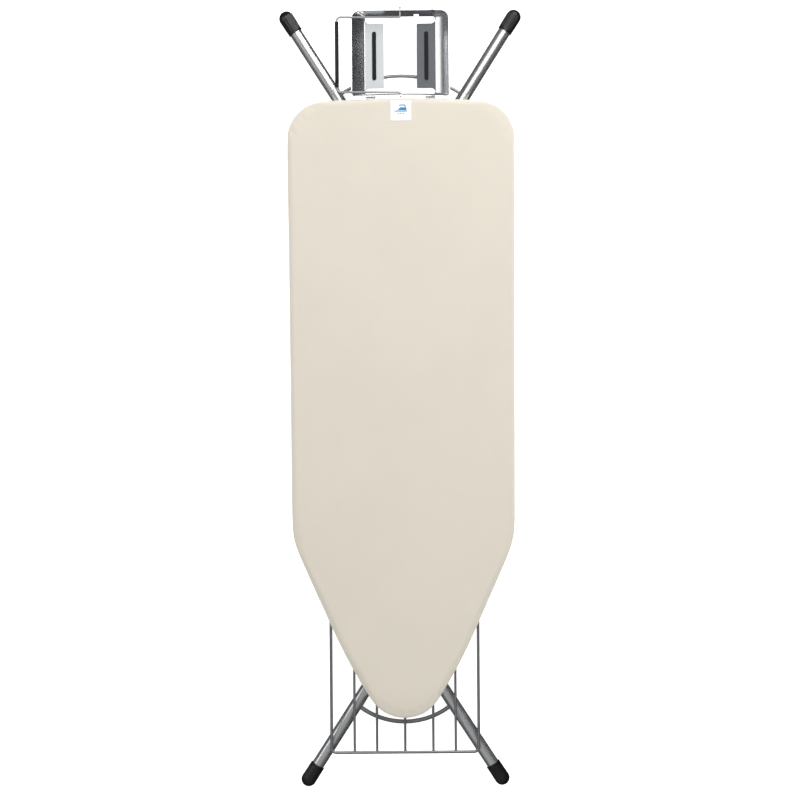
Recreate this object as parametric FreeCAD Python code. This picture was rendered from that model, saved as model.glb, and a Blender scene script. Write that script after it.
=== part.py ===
"""A free-standing ironing board, folded flat, built as separate pieces.

Frame, in millimetres: X across the board, +Y towards the square end with the iron rest,
+Z up. The folded board lies on its feet, so Z = 0 is the floor, and X = Y = 0 is under the
scissor pivot. The inner legs hang from the board's pivot bracket at +Y, and the outer legs
hang from a crossbar that slides in two rails at -Y. Both legs cross at the scissor bolts,
midway between, so the board stays level as it rises.
"""
import FreeCAD, Part
import math
import os

# Board outline, over the cover
BOARD_LENGTH = 1242.0            # between the outline's corners, before they are rounded
BOARD_WIDTH = 457.0
NOSE_FURTHER_OUT = 38.0          # the nose is this much further from the scissor pivot than the tail
TAIL_CROWN = 10.0                # the tail's middle stands this far beyond its corners
TAIL_CROWN_RADIUS = 1500.0
TAIL_CORNER_RADIUS = 78.0
WAIST_FROM_NOSE = 356.0          # where the sides start to turn in
WAIST_INSET = 5.0
WAIST_RADIUS = 190.0
TAPER_FROM_NOSE = 120.0
TAPER_HALF_WIDTH = 117.3
TAPER_RADIUS = 600.0
NOSE_HALF_WIDTH = 45.3
NOSE_ROUNDING = 0.999            # share of the largest radius that its straight run holds

# Deck, pad and cover
COVER_THICKNESS = 1.0
COVER_TURN_UNDER = 30.0          # width of the hem under the rim
COVER_EDGE_RADIUS = 5.0
ELASTIC_WIDTH = 6.0
ELASTIC_THICKNESS = 1.2
PAD_THICKNESS = 6.8
RIM_INSIDE_COVER = 1.0
DECK_THICKNESS = 1.2
RIM_DEPTH = 12.2
RIM_WALL = 1.5
RIM_LIP = 11.5
RIM_TO_COVER = 0.4
STIFFENER_WIDTH = 24.0
STIFFENER_WALL = 1.5
STIFFENER_TO_EDGE = 40.5
STIFFENER_BELOW_HEM = 0.2
PIVOT_STIFFENER_FROM_PIVOT = 84.0
MIDDLE_STIFFENER_FROM_RAIL = 130.0
LABEL_WIDTH = 42.5
LABEL_LENGTH = 42.0
LABEL_THICKNESS = 0.5
LABEL_CORNER_RADIUS = 2.0
LABEL_FROM_TAIL = 7.0

# Legs
TUBE_DIAMETER = 25.0
TUBE_WALL = 1.2
LEG_BEND_RADIUS = 80.0
INNER_TUBE_X = 42.0
SCISSOR_GAP = 3.0                # between the inner and the outer tubes
TUBE_PAST_PIVOT = 15.0
FOOT_BEYOND_TAIL = 165.0         # middle of a foot's round end
INNER_FOOT_X = 195.0
OUTER_FOOT_X = 228.8
INNER_BEND_FROM_FOOT = 236.0
OUTER_BEND_FROM_FOOT = 251.0
FOOT_WALL = 2.5
FOOT_SOCKET = 34.0
INNER_ARC_DIAMETER = 8.5
INNER_ARC_FROM_FOOT = 114.2      # the arc's crown
INNER_ARC_RADIUS = 149.5
OUTER_ARC_DIAMETER = 6.5
OUTER_ARC_FROM_FOOT = 117.2
OUTER_ARC_RADIUS = 221.0
PLUG_HEAD = 1.5
PLUG_DEPTH = 12.0
ARC_HALF_ANGLE = 60.0            # degrees, before the legs trim the tie

# Pivots
PLATE_THICKNESS = 3.0
PLATE_HALF_BASE = 16.0
PLATE_HALF_HEIGHT = 9.0          # of the part that is welded to the tube
WELD_WIDTH = 2.0
AXLE_DIAMETER = 10.0
AXLE_HEAD_THICKNESS = 3.0
BUSH_WALL = 1.4
BUSH_FLANGE = 0.8
BRACKET_FLANGE = 24.0
BRACKET_FLANGE_THICKNESS = 2.0
BRACKET_HALF_LENGTH = 20.0
RIVET_DIAMETER = 5.0
RIVET_HEAD = 1.5
RIVET_HEAD_DIAMETER = 9.0
RIVET_FROM_END = 5.0
SCISSOR_BOLT_DIAMETER = 8.0
SCISSOR_HEAD_THICKNESS = 5.0
SCISSOR_NUT_THICKNESS = 6.5
SCISSOR_ACROSS_FLATS = 13.0
WASHER_DIAMETER = 18.0
BOLT_PAST_NUT = 1.0

# Slide, notches and release lever
CROSSBAR_DIAMETER = 12.0
SLIDE_FROM_NOSE = 256.0          # the crossbar's place when folded
SHOE_LENGTH = 24.0
SHOE_WIDTH = 10.0
SHOE_HEIGHT = 14.4
SHOE_TO_RAIL_SIDE = 1.5
SHOE_INSIDE_RAIL = 1.0
RAIL_WALL = 1.5
RAIL_PAST_SLIDE = 16.0
RAIL_PAST_LAST_NOTCH = 9.0
MAX_LEG_ANGLE = 52.0             # degrees, at the tallest notch
MIN_LEG_ANGLE = 33.0             # degrees, at the lowest working notch
WORKING_NOTCHES = 6
COMB_THICKNESS = 3.0
COMB_FLANGE = 12.0
COMB_FROM_RAIL = 5.0
NOTCH_WIDTH = 9.0
NOTCH_DEPTH = 6.0
COMB_TO_PAWL_HUB = 2.0
YOKE_PLATE = 2.0
YOKE_LOBE_WALL = 4.0
YOKE_WEB_ABOVE_PIVOT = 3.0
YOKE_WEB_TO_CROSSBAR = 3.0
LEVER_SHAFT_DIAMETER = 6.0
LEVER_FROM_CROSSBAR = 20.0
LEVER_SWING = 14.0               # degrees
SHAFT_PAST_PAWL = 1.0
PAWL_SIDE_MARGIN = 2.0
PAWL_TOOTH = 4.0
PAWL_HUB_DIAMETER = 11.0
PAWL_TO_COMB = 0.6
PAWL_EDGE = 1.0
PAWL_TOOTH_FLARE = 3.0
PAWL_NECK_ABOVE_SHAFT = 2.0
PAWL_HEEL_BELOW_SHAFT = 3.0
GRIP_WIDTH = 40.0
GRIP_REACH = 55.0
GRIP_THICKNESS = 6.0
GRIP_HUB_DIAMETER = 12.0
GRIP_FROM_PAWL = 7.0
GRIP_CORNER_RADIUS = 10.0
GRIP_END_WALL = 4.0
GRIP_ABOVE_SHAFT = 1.0           # middle of the paddle

# Linen rack and its prop
RACK_HALF_WIDTH = 147.7
RACK_INNER_WIRES = (0.0, 56.5, 101.5)
RACK_HINGE_FROM_SLIDE = 56.0
RACK_BEYOND_NOSE = 71.5
RACK_SIDE_WIRE = 6.0
RACK_INNER_WIRE = 5.0
RACK_CORNER_RADIUS = 10.0
HINGE_ROD_DIAMETER = 8.0
HINGE_ROD_OVERHANG = 4.3
PROP_LENGTH = 75.0               # hinge to end, and as far again from the rack's hinge
PROP_HALF_WIDTH = 64.0           # outside the inner legs, between two of the rack's wires
PROP_WIRE = 6.0
EYELET_WALL = 2.0
EYELET_WIDTH = 5.0
RACK_TO_COVER = 1.6
RACK_TO_HINGE_ROD = 0.5          # under the side wires

# Iron rest
REST_HALF_WIDTH = 99.0
REST_FLOOR_HALF_WIDTH = 72.0
REST_DEPTH = 177.0               # tail to far edge
REST_FAR_SLOPE = 10.0
REST_NEAR_SLOPE = 5.0
REST_HEIGHT = 22.0
REST_WALL = 2.0
REST_CORNER_RADIUS = 18.0
REST_INNER_RADIUS = 6.0
REST_TO_COVER = 5.0
REST_TOP_BELOW_COVER = 12.0
PAD_PLATE_INNER_EDGE = 33.0
PAD_PLATE_LENGTH = 130.0
PAD_PLATE_THICKNESS = 2.0
PAD_PLATE_CORNER = 3.0
PAD_PLATE_FLARE = 8.0
PAD_PLATE_FLARE_SHARE = 0.8
REST_STRIP_LENGTH = 98.0
REST_STRIP_WIDTH = 8.0
REST_STRIP_PROUD = 2.0
REST_STRIP_EDGE_RADIUS = 0.8
FAR_NOTCH_X = 32.7
FAR_NOTCH_WIDTH = 10.0
FAR_NOTCH_HEIGHT = 8.0
ARM_X = 60.0
ARM_WIDTH = 20.0
ARM_THICKNESS = 3.0
ARM_BOLT_FROM_TAIL = 112.0
ARM_END_MARGIN = 10.0
ARM_BOLT_DIAMETER = 6.0
ARM_BOLT_HEAD = 3.0
ARM_NUT_THICKNESS = 5.0
ARM_ACROSS_FLATS = 10.0

# Bail over the iron rest
BAIL_WIRE = 4.0
BAIL_REACH = 127.0
BAIL_ARM_SPREAD = 150.0
BAIL_FROM_FAR_EDGE = 91.0        # middle of the bail
BAIL_CORNER_RADIUS = 8.0
BAIL_END_RADIUS = 4.0
BAIL_BELOW_REST_TOP = 6.0
BAIL_OVER_WALL = 0.6
BAIL_FAR_TIP = 5.0
BAIL_NEAR_TIP = 0.9              # from the cover
SLEEVE_DIAMETER = 7.6
SLEEVE_LENGTH = 132.0

# Clearances
RUNNING = 0.1                    # radial, a shaft in its bearing
LOOSE = 0.3                      # between faces of bodies that move past each other
SHAFT_TO_TUBE = 1.0
PLATE_GAP = 1.5                  # side to side at the pivots
GAP_IN_SCISSOR = 0.5             # side to side between the tubes

# Heights, from the floor up
TUBE_RADIUS = TUBE_DIAMETER / 2
FOOT_RADIUS = TUBE_RADIUS + FOOT_WALL
LEG_Z = FOOT_RADIUS
TUBE_TOP = LEG_Z + TUBE_RADIUS
HINGE_ROD_Z = TUBE_TOP + HINGE_ROD_DIAMETER / 2
EYELET_BORE_RADIUS = HINGE_ROD_DIAMETER / 2 + LOOSE
EYELET_RADIUS = EYELET_BORE_RADIUS + EYELET_WALL
RACK_Z = HINGE_ROD_Z + HINGE_ROD_DIAMETER / 2 + RACK_TO_HINGE_ROD + RACK_SIDE_WIRE / 2
LEVER_Z = TUBE_TOP + SHAFT_TO_TUBE + LEVER_SHAFT_DIAMETER / 2
COVER_BOTTOM = RACK_Z + RACK_SIDE_WIRE / 2 + RACK_TO_COVER
RIM_BOTTOM = COVER_BOTTOM + COVER_THICKNESS + RIM_TO_COVER
DECK_TOP = RIM_BOTTOM + RIM_DEPTH
DECK_BOTTOM = DECK_TOP - DECK_THICKNESS
PAD_TOP = DECK_TOP + PAD_THICKNESS
COVER_TOP = PAD_TOP + COVER_THICKNESS
PIVOT_Z = DECK_BOTTOM - RAIL_WALL - LOOSE - SHOE_HEIGHT / 2
RAIL_BOTTOM = PIVOT_Z - SHOE_HEIGHT / 2 - LOOSE - RAIL_WALL
LOBE_RADIUS = DECK_BOTTOM - PIVOT_Z - 2 * LOOSE
BRACKET_FLANGE_Z = DECK_BOTTOM - BRACKET_FLANGE_THICKNESS
STIFFENER_BOTTOM = COVER_BOTTOM - STIFFENER_BELOW_HEM

# Places along the board
TAIL_Y = (BOARD_LENGTH - NOSE_FURTHER_OUT) / 2
NOSE_Y = TAIL_Y - BOARD_LENGTH
SLIDE_Y = NOSE_Y + SLIDE_FROM_NOSE
PIVOT_Y = -SLIDE_Y
FOOT_Y = TAIL_Y + FOOT_BEYOND_TAIL
RACK_HINGE_Y = SLIDE_Y - RACK_HINGE_FROM_SLIDE
RACK_END_Y = NOSE_Y - RACK_BEYOND_NOSE
PROP_ROD_Y = RACK_HINGE_Y - PROP_LENGTH
PROP_END_Y = PROP_ROD_Y - PROP_LENGTH
LEVER_Y = SLIDE_Y + LEVER_FROM_CROSSBAR
REST_FAR_Y = TAIL_Y + REST_DEPTH
REST_TOP = COVER_TOP - REST_TOP_BELOW_COVER
REST_BOTTOM = REST_TOP - REST_HEIGHT
REST_MIDDLE_Y = REST_FAR_Y - BAIL_FROM_FAR_EDGE

# Places across the board, on the right-hand side
HALF_WIDTH = BOARD_WIDTH / 2
OUTER_TUBE_X = INNER_TUBE_X + TUBE_DIAMETER + SCISSOR_GAP
PIVOT_PLATE_X = INNER_TUBE_X - TUBE_RADIUS - PLATE_THICKNESS
EAR_X = PIVOT_PLATE_X + PLATE_THICKNESS + PLATE_GAP
YOKE_X = INNER_TUBE_X + TUBE_RADIUS + GAP_IN_SCISSOR
SLIDE_PLATE_X = OUTER_TUBE_X + TUBE_RADIUS
RAIL_X = SLIDE_PLATE_X + PLATE_THICKNESS + PLATE_GAP
SHOE_X = RAIL_X + SHOE_INSIDE_RAIL
RAIL_BACK_X = SHOE_X + SHOE_WIDTH + SHOE_TO_RAIL_SIDE
COMB_X = RAIL_BACK_X + RAIL_WALL + COMB_FROM_RAIL
PAWL_X = COMB_X - PAWL_SIDE_MARGIN
PAWL_WIDTH = COMB_THICKNESS + 2 * PAWL_SIDE_MARGIN
GRIP_X = PAWL_X + PAWL_WIDTH + GRIP_FROM_PAWL


def slide_y_at(angle):
    """Where the crossbar stands when the legs are open by this many degrees."""
    drop = PIVOT_Z - LEG_Z
    opening = math.radians(angle)
    return PIVOT_Y - 2 * PIVOT_Y * math.cos(opening) + 2 * drop * math.sin(opening)


RAIL_START = SLIDE_Y - RAIL_PAST_SLIDE
RAIL_END = slide_y_at(MAX_LEG_ANGLE) + RAIL_PAST_SLIDE + RAIL_PAST_LAST_NOTCH


def vec(x, y, z):
    return FreeCAD.Vector(x, y, z)


def box(x_from, x_to, y_from, y_to, z_from, z_to):
    return Part.makeBox(x_to - x_from, y_to - y_from, z_to - z_from, vec(x_from, y_from, z_from))


def bar(start, end, diameter):
    """A round bar between two points."""
    run = end - start
    return Part.makeCylinder(diameter / 2, run.Length, start, run)


def cross_bar(x_from, x_to, y, z, diameter):
    """A round bar along X."""
    return bar(vec(x_from, y, z), vec(x_to, y, z), diameter)


def hexagon(base, direction, across_flats, height):
    """A hexagonal prism that stands on base and grows along direction."""
    radius = across_flats / math.sqrt(3)
    corners = []
    for index in range(7):
        angle = math.radians(60 * index)
        corners.append(vec(radius * math.cos(angle), radius * math.sin(angle), 0))
    prism = Part.Face(Part.makePolygon(corners)).extrude(vec(0, 0, height))
    prism.Placement = FreeCAD.Placement(base, FreeCAD.Rotation(vec(0, 0, 1), direction))
    return prism


def mirrored(shape):
    """The left-hand twin of a right-hand piece."""
    return shape.mirror(vec(0, 0, 0), vec(1, 0, 0))


def both_sides(shape):
    return Part.makeCompound([shape, mirrored(shape)])


def prism_x(outline, x_from, x_to):
    """A plate whose (y, z) outline is given, thick along X."""
    corners = [vec(x_from, y, z) for y, z in outline]
    corners.append(corners[0])
    return Part.Face(Part.makePolygon(corners)).extrude(vec(x_to - x_from, 0, 0))


def rounded_corner(before, corner, after, radius):
    """The tangent arc that rounds a corner, as its start, middle and end."""
    arrive = (corner - before).normalize()
    leave = (after - corner).normalize()
    half_turn = arrive.getAngle(leave) / 2
    setback = radius * math.tan(half_turn)
    inwards = (leave - arrive).normalize()
    middle = corner + inwards * (radius / math.cos(half_turn) - radius)
    return corner - arrive * setback, middle, corner + leave * setback


def path_through(points, radii):
    """Straight runs through the points, with a tangent arc at each corner between."""
    edges = []
    run_start = points[0]
    corners = zip(points, points[1:], points[2:], radii)
    for before, corner, after, radius in corners:
        arc_start, arc_middle, arc_end = rounded_corner(before, corner, after, radius)
        edges.append(Part.LineSegment(run_start, arc_start).toShape())
        edges.append(Part.Arc(arc_start, arc_middle, arc_end).toShape())
        run_start = arc_end
    edges.append(Part.LineSegment(run_start, points[-1]).toShape())
    return Part.Wire(edges)


def rod(points, radii, diameter):
    """Round wire or bar, bent at the corners."""
    section = Part.Circle(points[0], points[1] - points[0], diameter / 2)
    return path_through(points, radii).makePipeShell([Part.Wire(section.toShape())], True, True)


def rounded_loop(corners, z):
    """A closed outline through (x, y, radius) corners at height z."""
    points = [vec(x, y, z) for x, y, radius in corners]
    radii = [radius for x, y, radius in corners]
    edges = []
    arcs = []
    for index, radius in enumerate(radii):
        after = points[(index + 1) % len(points)]
        if radius > 0:
            arcs.append(rounded_corner(points[index - 1], points[index], after, radius))
        else:
            arcs.append((points[index], None, points[index]))
    for index, (arc_start, arc_middle, arc_end) in enumerate(arcs):
        if arc_middle is not None:
            edges.append(Part.Arc(arc_start, arc_middle, arc_end).toShape())
        next_start = arcs[(index + 1) % len(arcs)][0]
        edges.append(Part.LineSegment(arc_end, next_start).toShape())
    return Part.Wire(edges)


def flat_plate(corners, z_from, z_to):
    return Part.Face(rounded_loop(corners, z_from)).extrude(vec(0, 0, z_to - z_from))


# Board --------------------------------------------------------------------------------------

def board_corners():
    """Corners of the cover's outline, clockwise from the middle of the tail."""
    side_run = TAPER_HALF_WIDTH - NOSE_HALF_WIDTH
    nose_turn = math.atan2(TAPER_FROM_NOSE, side_run)
    nose_radius = NOSE_ROUNDING * NOSE_HALF_WIDTH / math.tan(nose_turn / 2)
    right = [
        (HALF_WIDTH, TAIL_Y - TAIL_CROWN, TAIL_CORNER_RADIUS),
        (HALF_WIDTH - WAIST_INSET, NOSE_Y + WAIST_FROM_NOSE, WAIST_RADIUS),
        (TAPER_HALF_WIDTH, NOSE_Y + TAPER_FROM_NOSE, TAPER_RADIUS),
        (NOSE_HALF_WIDTH, NOSE_Y, nose_radius),
    ]
    left = [(-x, y, radius) for x, y, radius in reversed(right)]
    return [(0, TAIL_Y, TAIL_CROWN_RADIUS)] + right + left


def slab(inset, z_from, z_to):
    """A slab with the board's outline, set in all round."""
    outline = Part.Face(rounded_loop(board_corners(), z_from))
    if inset > 0:
        outline = outline.makeOffset2D(-inset)
    return outline.extrude(vec(0, 0, z_to - z_from))


def softened_slab(inset, z_from, z_to, radius):
    """A slab whose upper edge is rounded."""
    block = slab(inset, z_from, z_to)
    upper = [edge for edge in block.Edges if edge.BoundBox.ZMin > z_to - 0.01]
    return block.makeFillet(radius, upper)


RIM_INSET = COVER_THICKNESS + RIM_INSIDE_COVER
BRACKET_RIVET_X = EAR_X + PLATE_THICKNESS + BRACKET_FLANGE / 2


def rivet_places():
    along = BRACKET_HALF_LENGTH - RIVET_FROM_END
    return [(BRACKET_RIVET_X, PIVOT_Y - along), (BRACKET_RIVET_X, PIVOT_Y + along)]


def rivet_shanks(z_from, z_to):
    shanks = [bar(vec(x, y, z_from), vec(x, y, z_to), RIVET_DIAMETER) for x, y in rivet_places()]
    return both_sides(shanks[0].fuse(shanks[1]))


def make_deck_sheet():
    sheet = slab(RIM_INSET + RIM_WALL, DECK_BOTTOM, DECK_TOP)
    return sheet.cut(rivet_shanks(DECK_BOTTOM, DECK_TOP))


def make_deck_rim():
    """An angle round the deck: an upright wall and a lip that carries the sheet."""
    wall_inner = RIM_INSET + RIM_WALL
    wall = slab(RIM_INSET, RIM_BOTTOM, DECK_TOP).cut(slab(wall_inner, RIM_BOTTOM, DECK_TOP))
    lip_bottom = DECK_BOTTOM - RIM_WALL
    lip = slab(wall_inner, lip_bottom, DECK_BOTTOM)
    lip = lip.cut(slab(wall_inner + RIM_LIP, lip_bottom, DECK_BOTTOM))
    return wall.fuse(lip).removeSplitter()


def make_foam_pad():
    return softened_slab(COVER_THICKNESS, DECK_TOP, PAD_TOP, COVER_EDGE_RADIUS - COVER_THICKNESS)


def make_cover():
    """A thin bag: top, sides and a hem turned under the rim."""
    outer = softened_slab(0, COVER_BOTTOM, COVER_TOP, COVER_EDGE_RADIUS)
    inner_radius = COVER_EDGE_RADIUS - COVER_THICKNESS
    hem_top = COVER_BOTTOM + COVER_THICKNESS
    hollow = softened_slab(COVER_THICKNESS, hem_top, PAD_TOP, inner_radius)
    mouth = slab(COVER_TURN_UNDER, COVER_BOTTOM, hem_top)
    return outer.cut(hollow).cut(mouth)


def make_hem_elastic():
    """A flat band on the inner edge of the hem."""
    bottom = COVER_BOTTOM + COVER_THICKNESS
    top = bottom + ELASTIC_THICKNESS
    band = slab(COVER_TURN_UNDER - ELASTIC_WIDTH, bottom, top)
    return band.cut(slab(COVER_TURN_UNDER, bottom, top))


def make_cover_label():
    far = TAIL_Y - LABEL_FROM_TAIL
    half = LABEL_WIDTH / 2
    near = far - LABEL_LENGTH
    radius = LABEL_CORNER_RADIUS
    corners = [(half, far, radius), (half, near, radius), (-half, near, radius), (-half, far, radius)]
    return flat_plate(corners, COVER_TOP, COVER_TOP + LABEL_THICKNESS)


def make_stiffener(y):
    """A channel across the deck, open towards the sheet."""
    half_length = HALF_WIDTH - STIFFENER_TO_EDGE
    half_width = STIFFENER_WIDTH / 2
    inner = half_width - STIFFENER_WALL
    solid = box(-half_length, half_length, y - half_width, y + half_width, STIFFENER_BOTTOM, DECK_BOTTOM)
    floor = STIFFENER_BOTTOM + STIFFENER_WALL
    return solid.cut(box(-half_length, half_length, y - inner, y + inner, floor, DECK_BOTTOM))


def make_rest_stiffener():
    """The channel near the tail, drilled for the iron rest's bolts."""
    y = TAIL_Y - ARM_BOLT_FROM_TAIL
    hole = bar(vec(ARM_X, y, STIFFENER_BOTTOM), vec(ARM_X, y, DECK_BOTTOM), ARM_BOLT_DIAMETER)
    return make_stiffener(y).cut(both_sides(hole))


def make_slide_rail():
    """A C-section rail that opens towards the middle of the board."""
    outer = box(RAIL_X, RAIL_BACK_X + RAIL_WALL, RAIL_START, RAIL_END, RAIL_BOTTOM, DECK_BOTTOM)
    inner_bottom = RAIL_BOTTOM + RAIL_WALL
    inner_top = DECK_BOTTOM - RAIL_WALL
    return outer.cut(box(RAIL_X, RAIL_BACK_X, RAIL_START, RAIL_END, inner_bottom, inner_top))


def notch_angles():
    """Leg angles that have a notch: folded, then the working heights."""
    step = (MAX_LEG_ANGLE - MIN_LEG_ANGLE) / (WORKING_NOTCHES - 1)
    return [0.0] + [MIN_LEG_ANGLE + step * index for index in range(WORKING_NOTCHES)]


COMB_BOTTOM = LEVER_Z + PAWL_HUB_DIAMETER / 2 + COMB_TO_PAWL_HUB
TOOTH_TOP = COMB_BOTTOM - PAWL_TO_COMB


def tooth_shift():
    """How far the tooth moves along Y while it swings up."""
    swing = math.radians(LEVER_SWING)
    rise = TOOTH_TOP - LEVER_Z
    return LEVER_FROM_CROSSBAR * (1 - math.cos(swing)) + rise * math.sin(swing)


def make_notch_comb():
    """A notched strip beside the rail, with a flange welded to the deck."""
    strip = box(COMB_X, COMB_X + COMB_THICKNESS, RAIL_START, RAIL_END, COMB_BOTTOM, DECK_BOTTOM)
    flange_x = COMB_X + COMB_THICKNESS
    flange = box(flange_x, flange_x + COMB_FLANGE, RAIL_START, RAIL_END, DECK_BOTTOM - RAIL_WALL, DECK_BOTTOM)
    comb = strip.fuse(flange)
    half = NOTCH_WIDTH / 2
    for angle in notch_angles():
        middle = slide_y_at(angle) + tooth_shift() / 2
        notch_top = COMB_BOTTOM + NOTCH_DEPTH
        comb = comb.cut(box(COMB_X, flange_x, middle - half, middle + half, COMB_BOTTOM, notch_top))
    return comb.removeSplitter()


def make_pivot_bracket():
    """An ear under the deck with a flange riveted to the sheet."""
    lobe = LOBE_RADIUS + LOOSE
    far_x = EAR_X + PLATE_THICKNESS
    outline = [
        (PIVOT_Y - lobe, PIVOT_Z),
        (PIVOT_Y + lobe, PIVOT_Z),
        (PIVOT_Y + BRACKET_HALF_LENGTH, BRACKET_FLANGE_Z),
        (PIVOT_Y + BRACKET_HALF_LENGTH, DECK_BOTTOM),
        (PIVOT_Y - BRACKET_HALF_LENGTH, DECK_BOTTOM),
        (PIVOT_Y - BRACKET_HALF_LENGTH, BRACKET_FLANGE_Z),
    ]
    ear = prism_x(outline, EAR_X, far_x).fuse(cross_bar(EAR_X, far_x, PIVOT_Y, PIVOT_Z, 2 * lobe))
    y_from = PIVOT_Y - BRACKET_HALF_LENGTH
    y_to = PIVOT_Y + BRACKET_HALF_LENGTH
    flange = box(far_x, far_x + BRACKET_FLANGE, y_from, y_to, BRACKET_FLANGE_Z, DECK_BOTTOM)
    bush_hole = cross_bar(EAR_X, far_x, PIVOT_Y, PIVOT_Z, AXLE_DIAMETER + 2 * RUNNING + 2 * BUSH_WALL)
    bracket = ear.fuse(flange).cut(bush_hole).cut(rivet_shanks(BRACKET_FLANGE_Z, DECK_BOTTOM))
    return bracket.removeSplitter()


def make_bracket_rivets():
    rivets = []
    for x, y in rivet_places():
        shank = bar(vec(x, y, BRACKET_FLANGE_Z), vec(x, y, DECK_TOP), RIVET_DIAMETER)
        head_bottom = BRACKET_FLANGE_Z - RIVET_HEAD
        head = bar(vec(x, y, head_bottom), vec(x, y, BRACKET_FLANGE_Z), RIVET_HEAD_DIAMETER)
        rivet = shank.fuse(head).removeSplitter()
        rivets += [rivet, mirrored(rivet)]
    return Part.makeCompound(rivets)


def make_pivot_bushes():
    """Flanged nylon bushes in the bracket's ears."""
    bore = AXLE_DIAMETER + 2 * RUNNING
    barrel = cross_bar(EAR_X, EAR_X + PLATE_THICKNESS, PIVOT_Y, PIVOT_Z, bore + 2 * BUSH_WALL)
    flange = cross_bar(EAR_X - BUSH_FLANGE, EAR_X, PIVOT_Y, PIVOT_Z, 2 * LOBE_RADIUS)
    hole = cross_bar(EAR_X - BUSH_FLANGE, EAR_X + PLATE_THICKNESS, PIVOT_Y, PIVOT_Z, bore)
    return both_sides(barrel.fuse(flange).cut(hole).removeSplitter())


# Iron rest ----------------------------------------------------------------------------------

def rest_corners(half_width, far_y, near_y, far_radius, near_radius):
    """An outline whose near side runs parallel to the board's crowned tail."""
    fall = TAIL_CROWN * half_width / HALF_WIDTH
    right = [(half_width, far_y, far_radius), (half_width, near_y - fall, near_radius)]
    left = [(-x, y, radius) for x, y, radius in reversed(right)]
    return right + [(0, near_y, TAIL_CROWN_RADIUS)] + left


def rest_funnel(inset):
    """The solid inside the rest's sloping walls, set in by a wall."""
    near_y = TAIL_Y + REST_TO_COVER
    upper = rest_corners(REST_HALF_WIDTH - inset, REST_FAR_Y - inset, near_y + inset,
                         REST_CORNER_RADIUS - inset, REST_INNER_RADIUS - inset)
    lower = rest_corners(REST_FLOOR_HALF_WIDTH - inset, REST_FAR_Y - REST_FAR_SLOPE - inset,
                         near_y + REST_NEAR_SLOPE + inset,
                         REST_INNER_RADIUS - inset, REST_INNER_RADIUS - inset)
    outlines = [rounded_loop(lower, REST_BOTTOM), rounded_loop(upper, REST_TOP)]
    return Part.makeLoft(outlines, True, True)


def rest_strip(z_from, z_to):
    """A rubber strip with round ends, in the middle of the right-hand pad plate."""
    half = REST_STRIP_WIDTH / 2
    x = (PAD_PLATE_INNER_EDGE + REST_FLOOR_HALF_WIDTH) / 2
    start = REST_MIDDLE_Y - REST_STRIP_LENGTH / 2 + half
    end = REST_MIDDLE_Y + REST_STRIP_LENGTH / 2 - half
    strip = box(x - half, x + half, start, end, z_from, z_to)
    for y in (start, end):
        strip = strip.fuse(bar(vec(x, y, z_from), vec(x, y, z_to), REST_STRIP_WIDTH))
    return strip.removeSplitter()


def pad_plate():
    """A plate that carries one side of the iron, flared where it meets the wall."""
    near = REST_MIDDLE_Y - PAD_PLATE_LENGTH / 2
    far = REST_MIDDLE_Y + PAD_PLATE_LENGTH / 2
    wall = REST_FLOOR_HALF_WIDTH
    flare_x = wall - PAD_PLATE_FLARE_SHARE * PAD_PLATE_FLARE
    corners = [
        (PAD_PLATE_INNER_EDGE, far, PAD_PLATE_CORNER),
        (flare_x, far, PAD_PLATE_FLARE),
        (wall, far + PAD_PLATE_FLARE, 0),
        (wall, near - PAD_PLATE_FLARE, 0),
        (flare_x, near, PAD_PLATE_FLARE),
        (PAD_PLATE_INNER_EDGE, near, PAD_PLATE_CORNER),
    ]
    plate = flat_plate(corners, REST_BOTTOM, REST_BOTTOM + PAD_PLATE_THICKNESS)
    return plate.cut(rest_strip(REST_BOTTOM, REST_BOTTOM + PAD_PLATE_THICKNESS))


def bail_pivot_z():
    return REST_TOP - BAIL_BELOW_REST_TOP


def make_rest_frame():
    """Sloping walls, two pad plates, holes for the bail and a notch in the far wall."""
    frame = rest_funnel(0).cut(rest_funnel(REST_WALL))
    plate = pad_plate()
    frame = frame.fuse(plate).fuse(mirrored(plate))
    z = bail_pivot_z()
    frame = frame.cut(bar(vec(0, TAIL_Y, z), vec(0, REST_FAR_Y, z), BAIL_WIRE + 2 * RUNNING))
    half = FAR_NOTCH_WIDTH / 2
    floor_far = REST_FAR_Y - REST_FAR_SLOPE
    notch = box(FAR_NOTCH_X - half, FAR_NOTCH_X + half, floor_far - 2 * REST_WALL, REST_FAR_Y,
                REST_BOTTOM, REST_BOTTOM + FAR_NOTCH_HEIGHT)
    return frame.cut(notch).removeSplitter()


def make_rest_strip():
    top = REST_BOTTOM + PAD_PLATE_THICKNESS + REST_STRIP_PROUD
    strip = rest_strip(REST_BOTTOM, top)
    upper = [edge for edge in strip.Edges if edge.BoundBox.ZMin > top - 0.01]
    return strip.makeFillet(REST_STRIP_EDGE_RADIUS, upper)


def make_rest_arm():
    """A flat strap from the stiffener, under the cover, to the rest's near wall."""
    bolt_y = TAIL_Y - ARM_BOLT_FROM_TAIL
    top = STIFFENER_BOTTOM
    half = ARM_WIDTH / 2
    strap_end = TAIL_Y + REST_TO_COVER + 2 * REST_NEAR_SLOPE
    strap = box(ARM_X - half, ARM_X + half, bolt_y - ARM_END_MARGIN, strap_end, top - ARM_THICKNESS, top)
    hole = bar(vec(ARM_X, bolt_y, top - ARM_THICKNESS), vec(ARM_X, bolt_y, top), ARM_BOLT_DIAMETER)
    return strap.cut(rest_funnel(0)).cut(hole)


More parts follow.
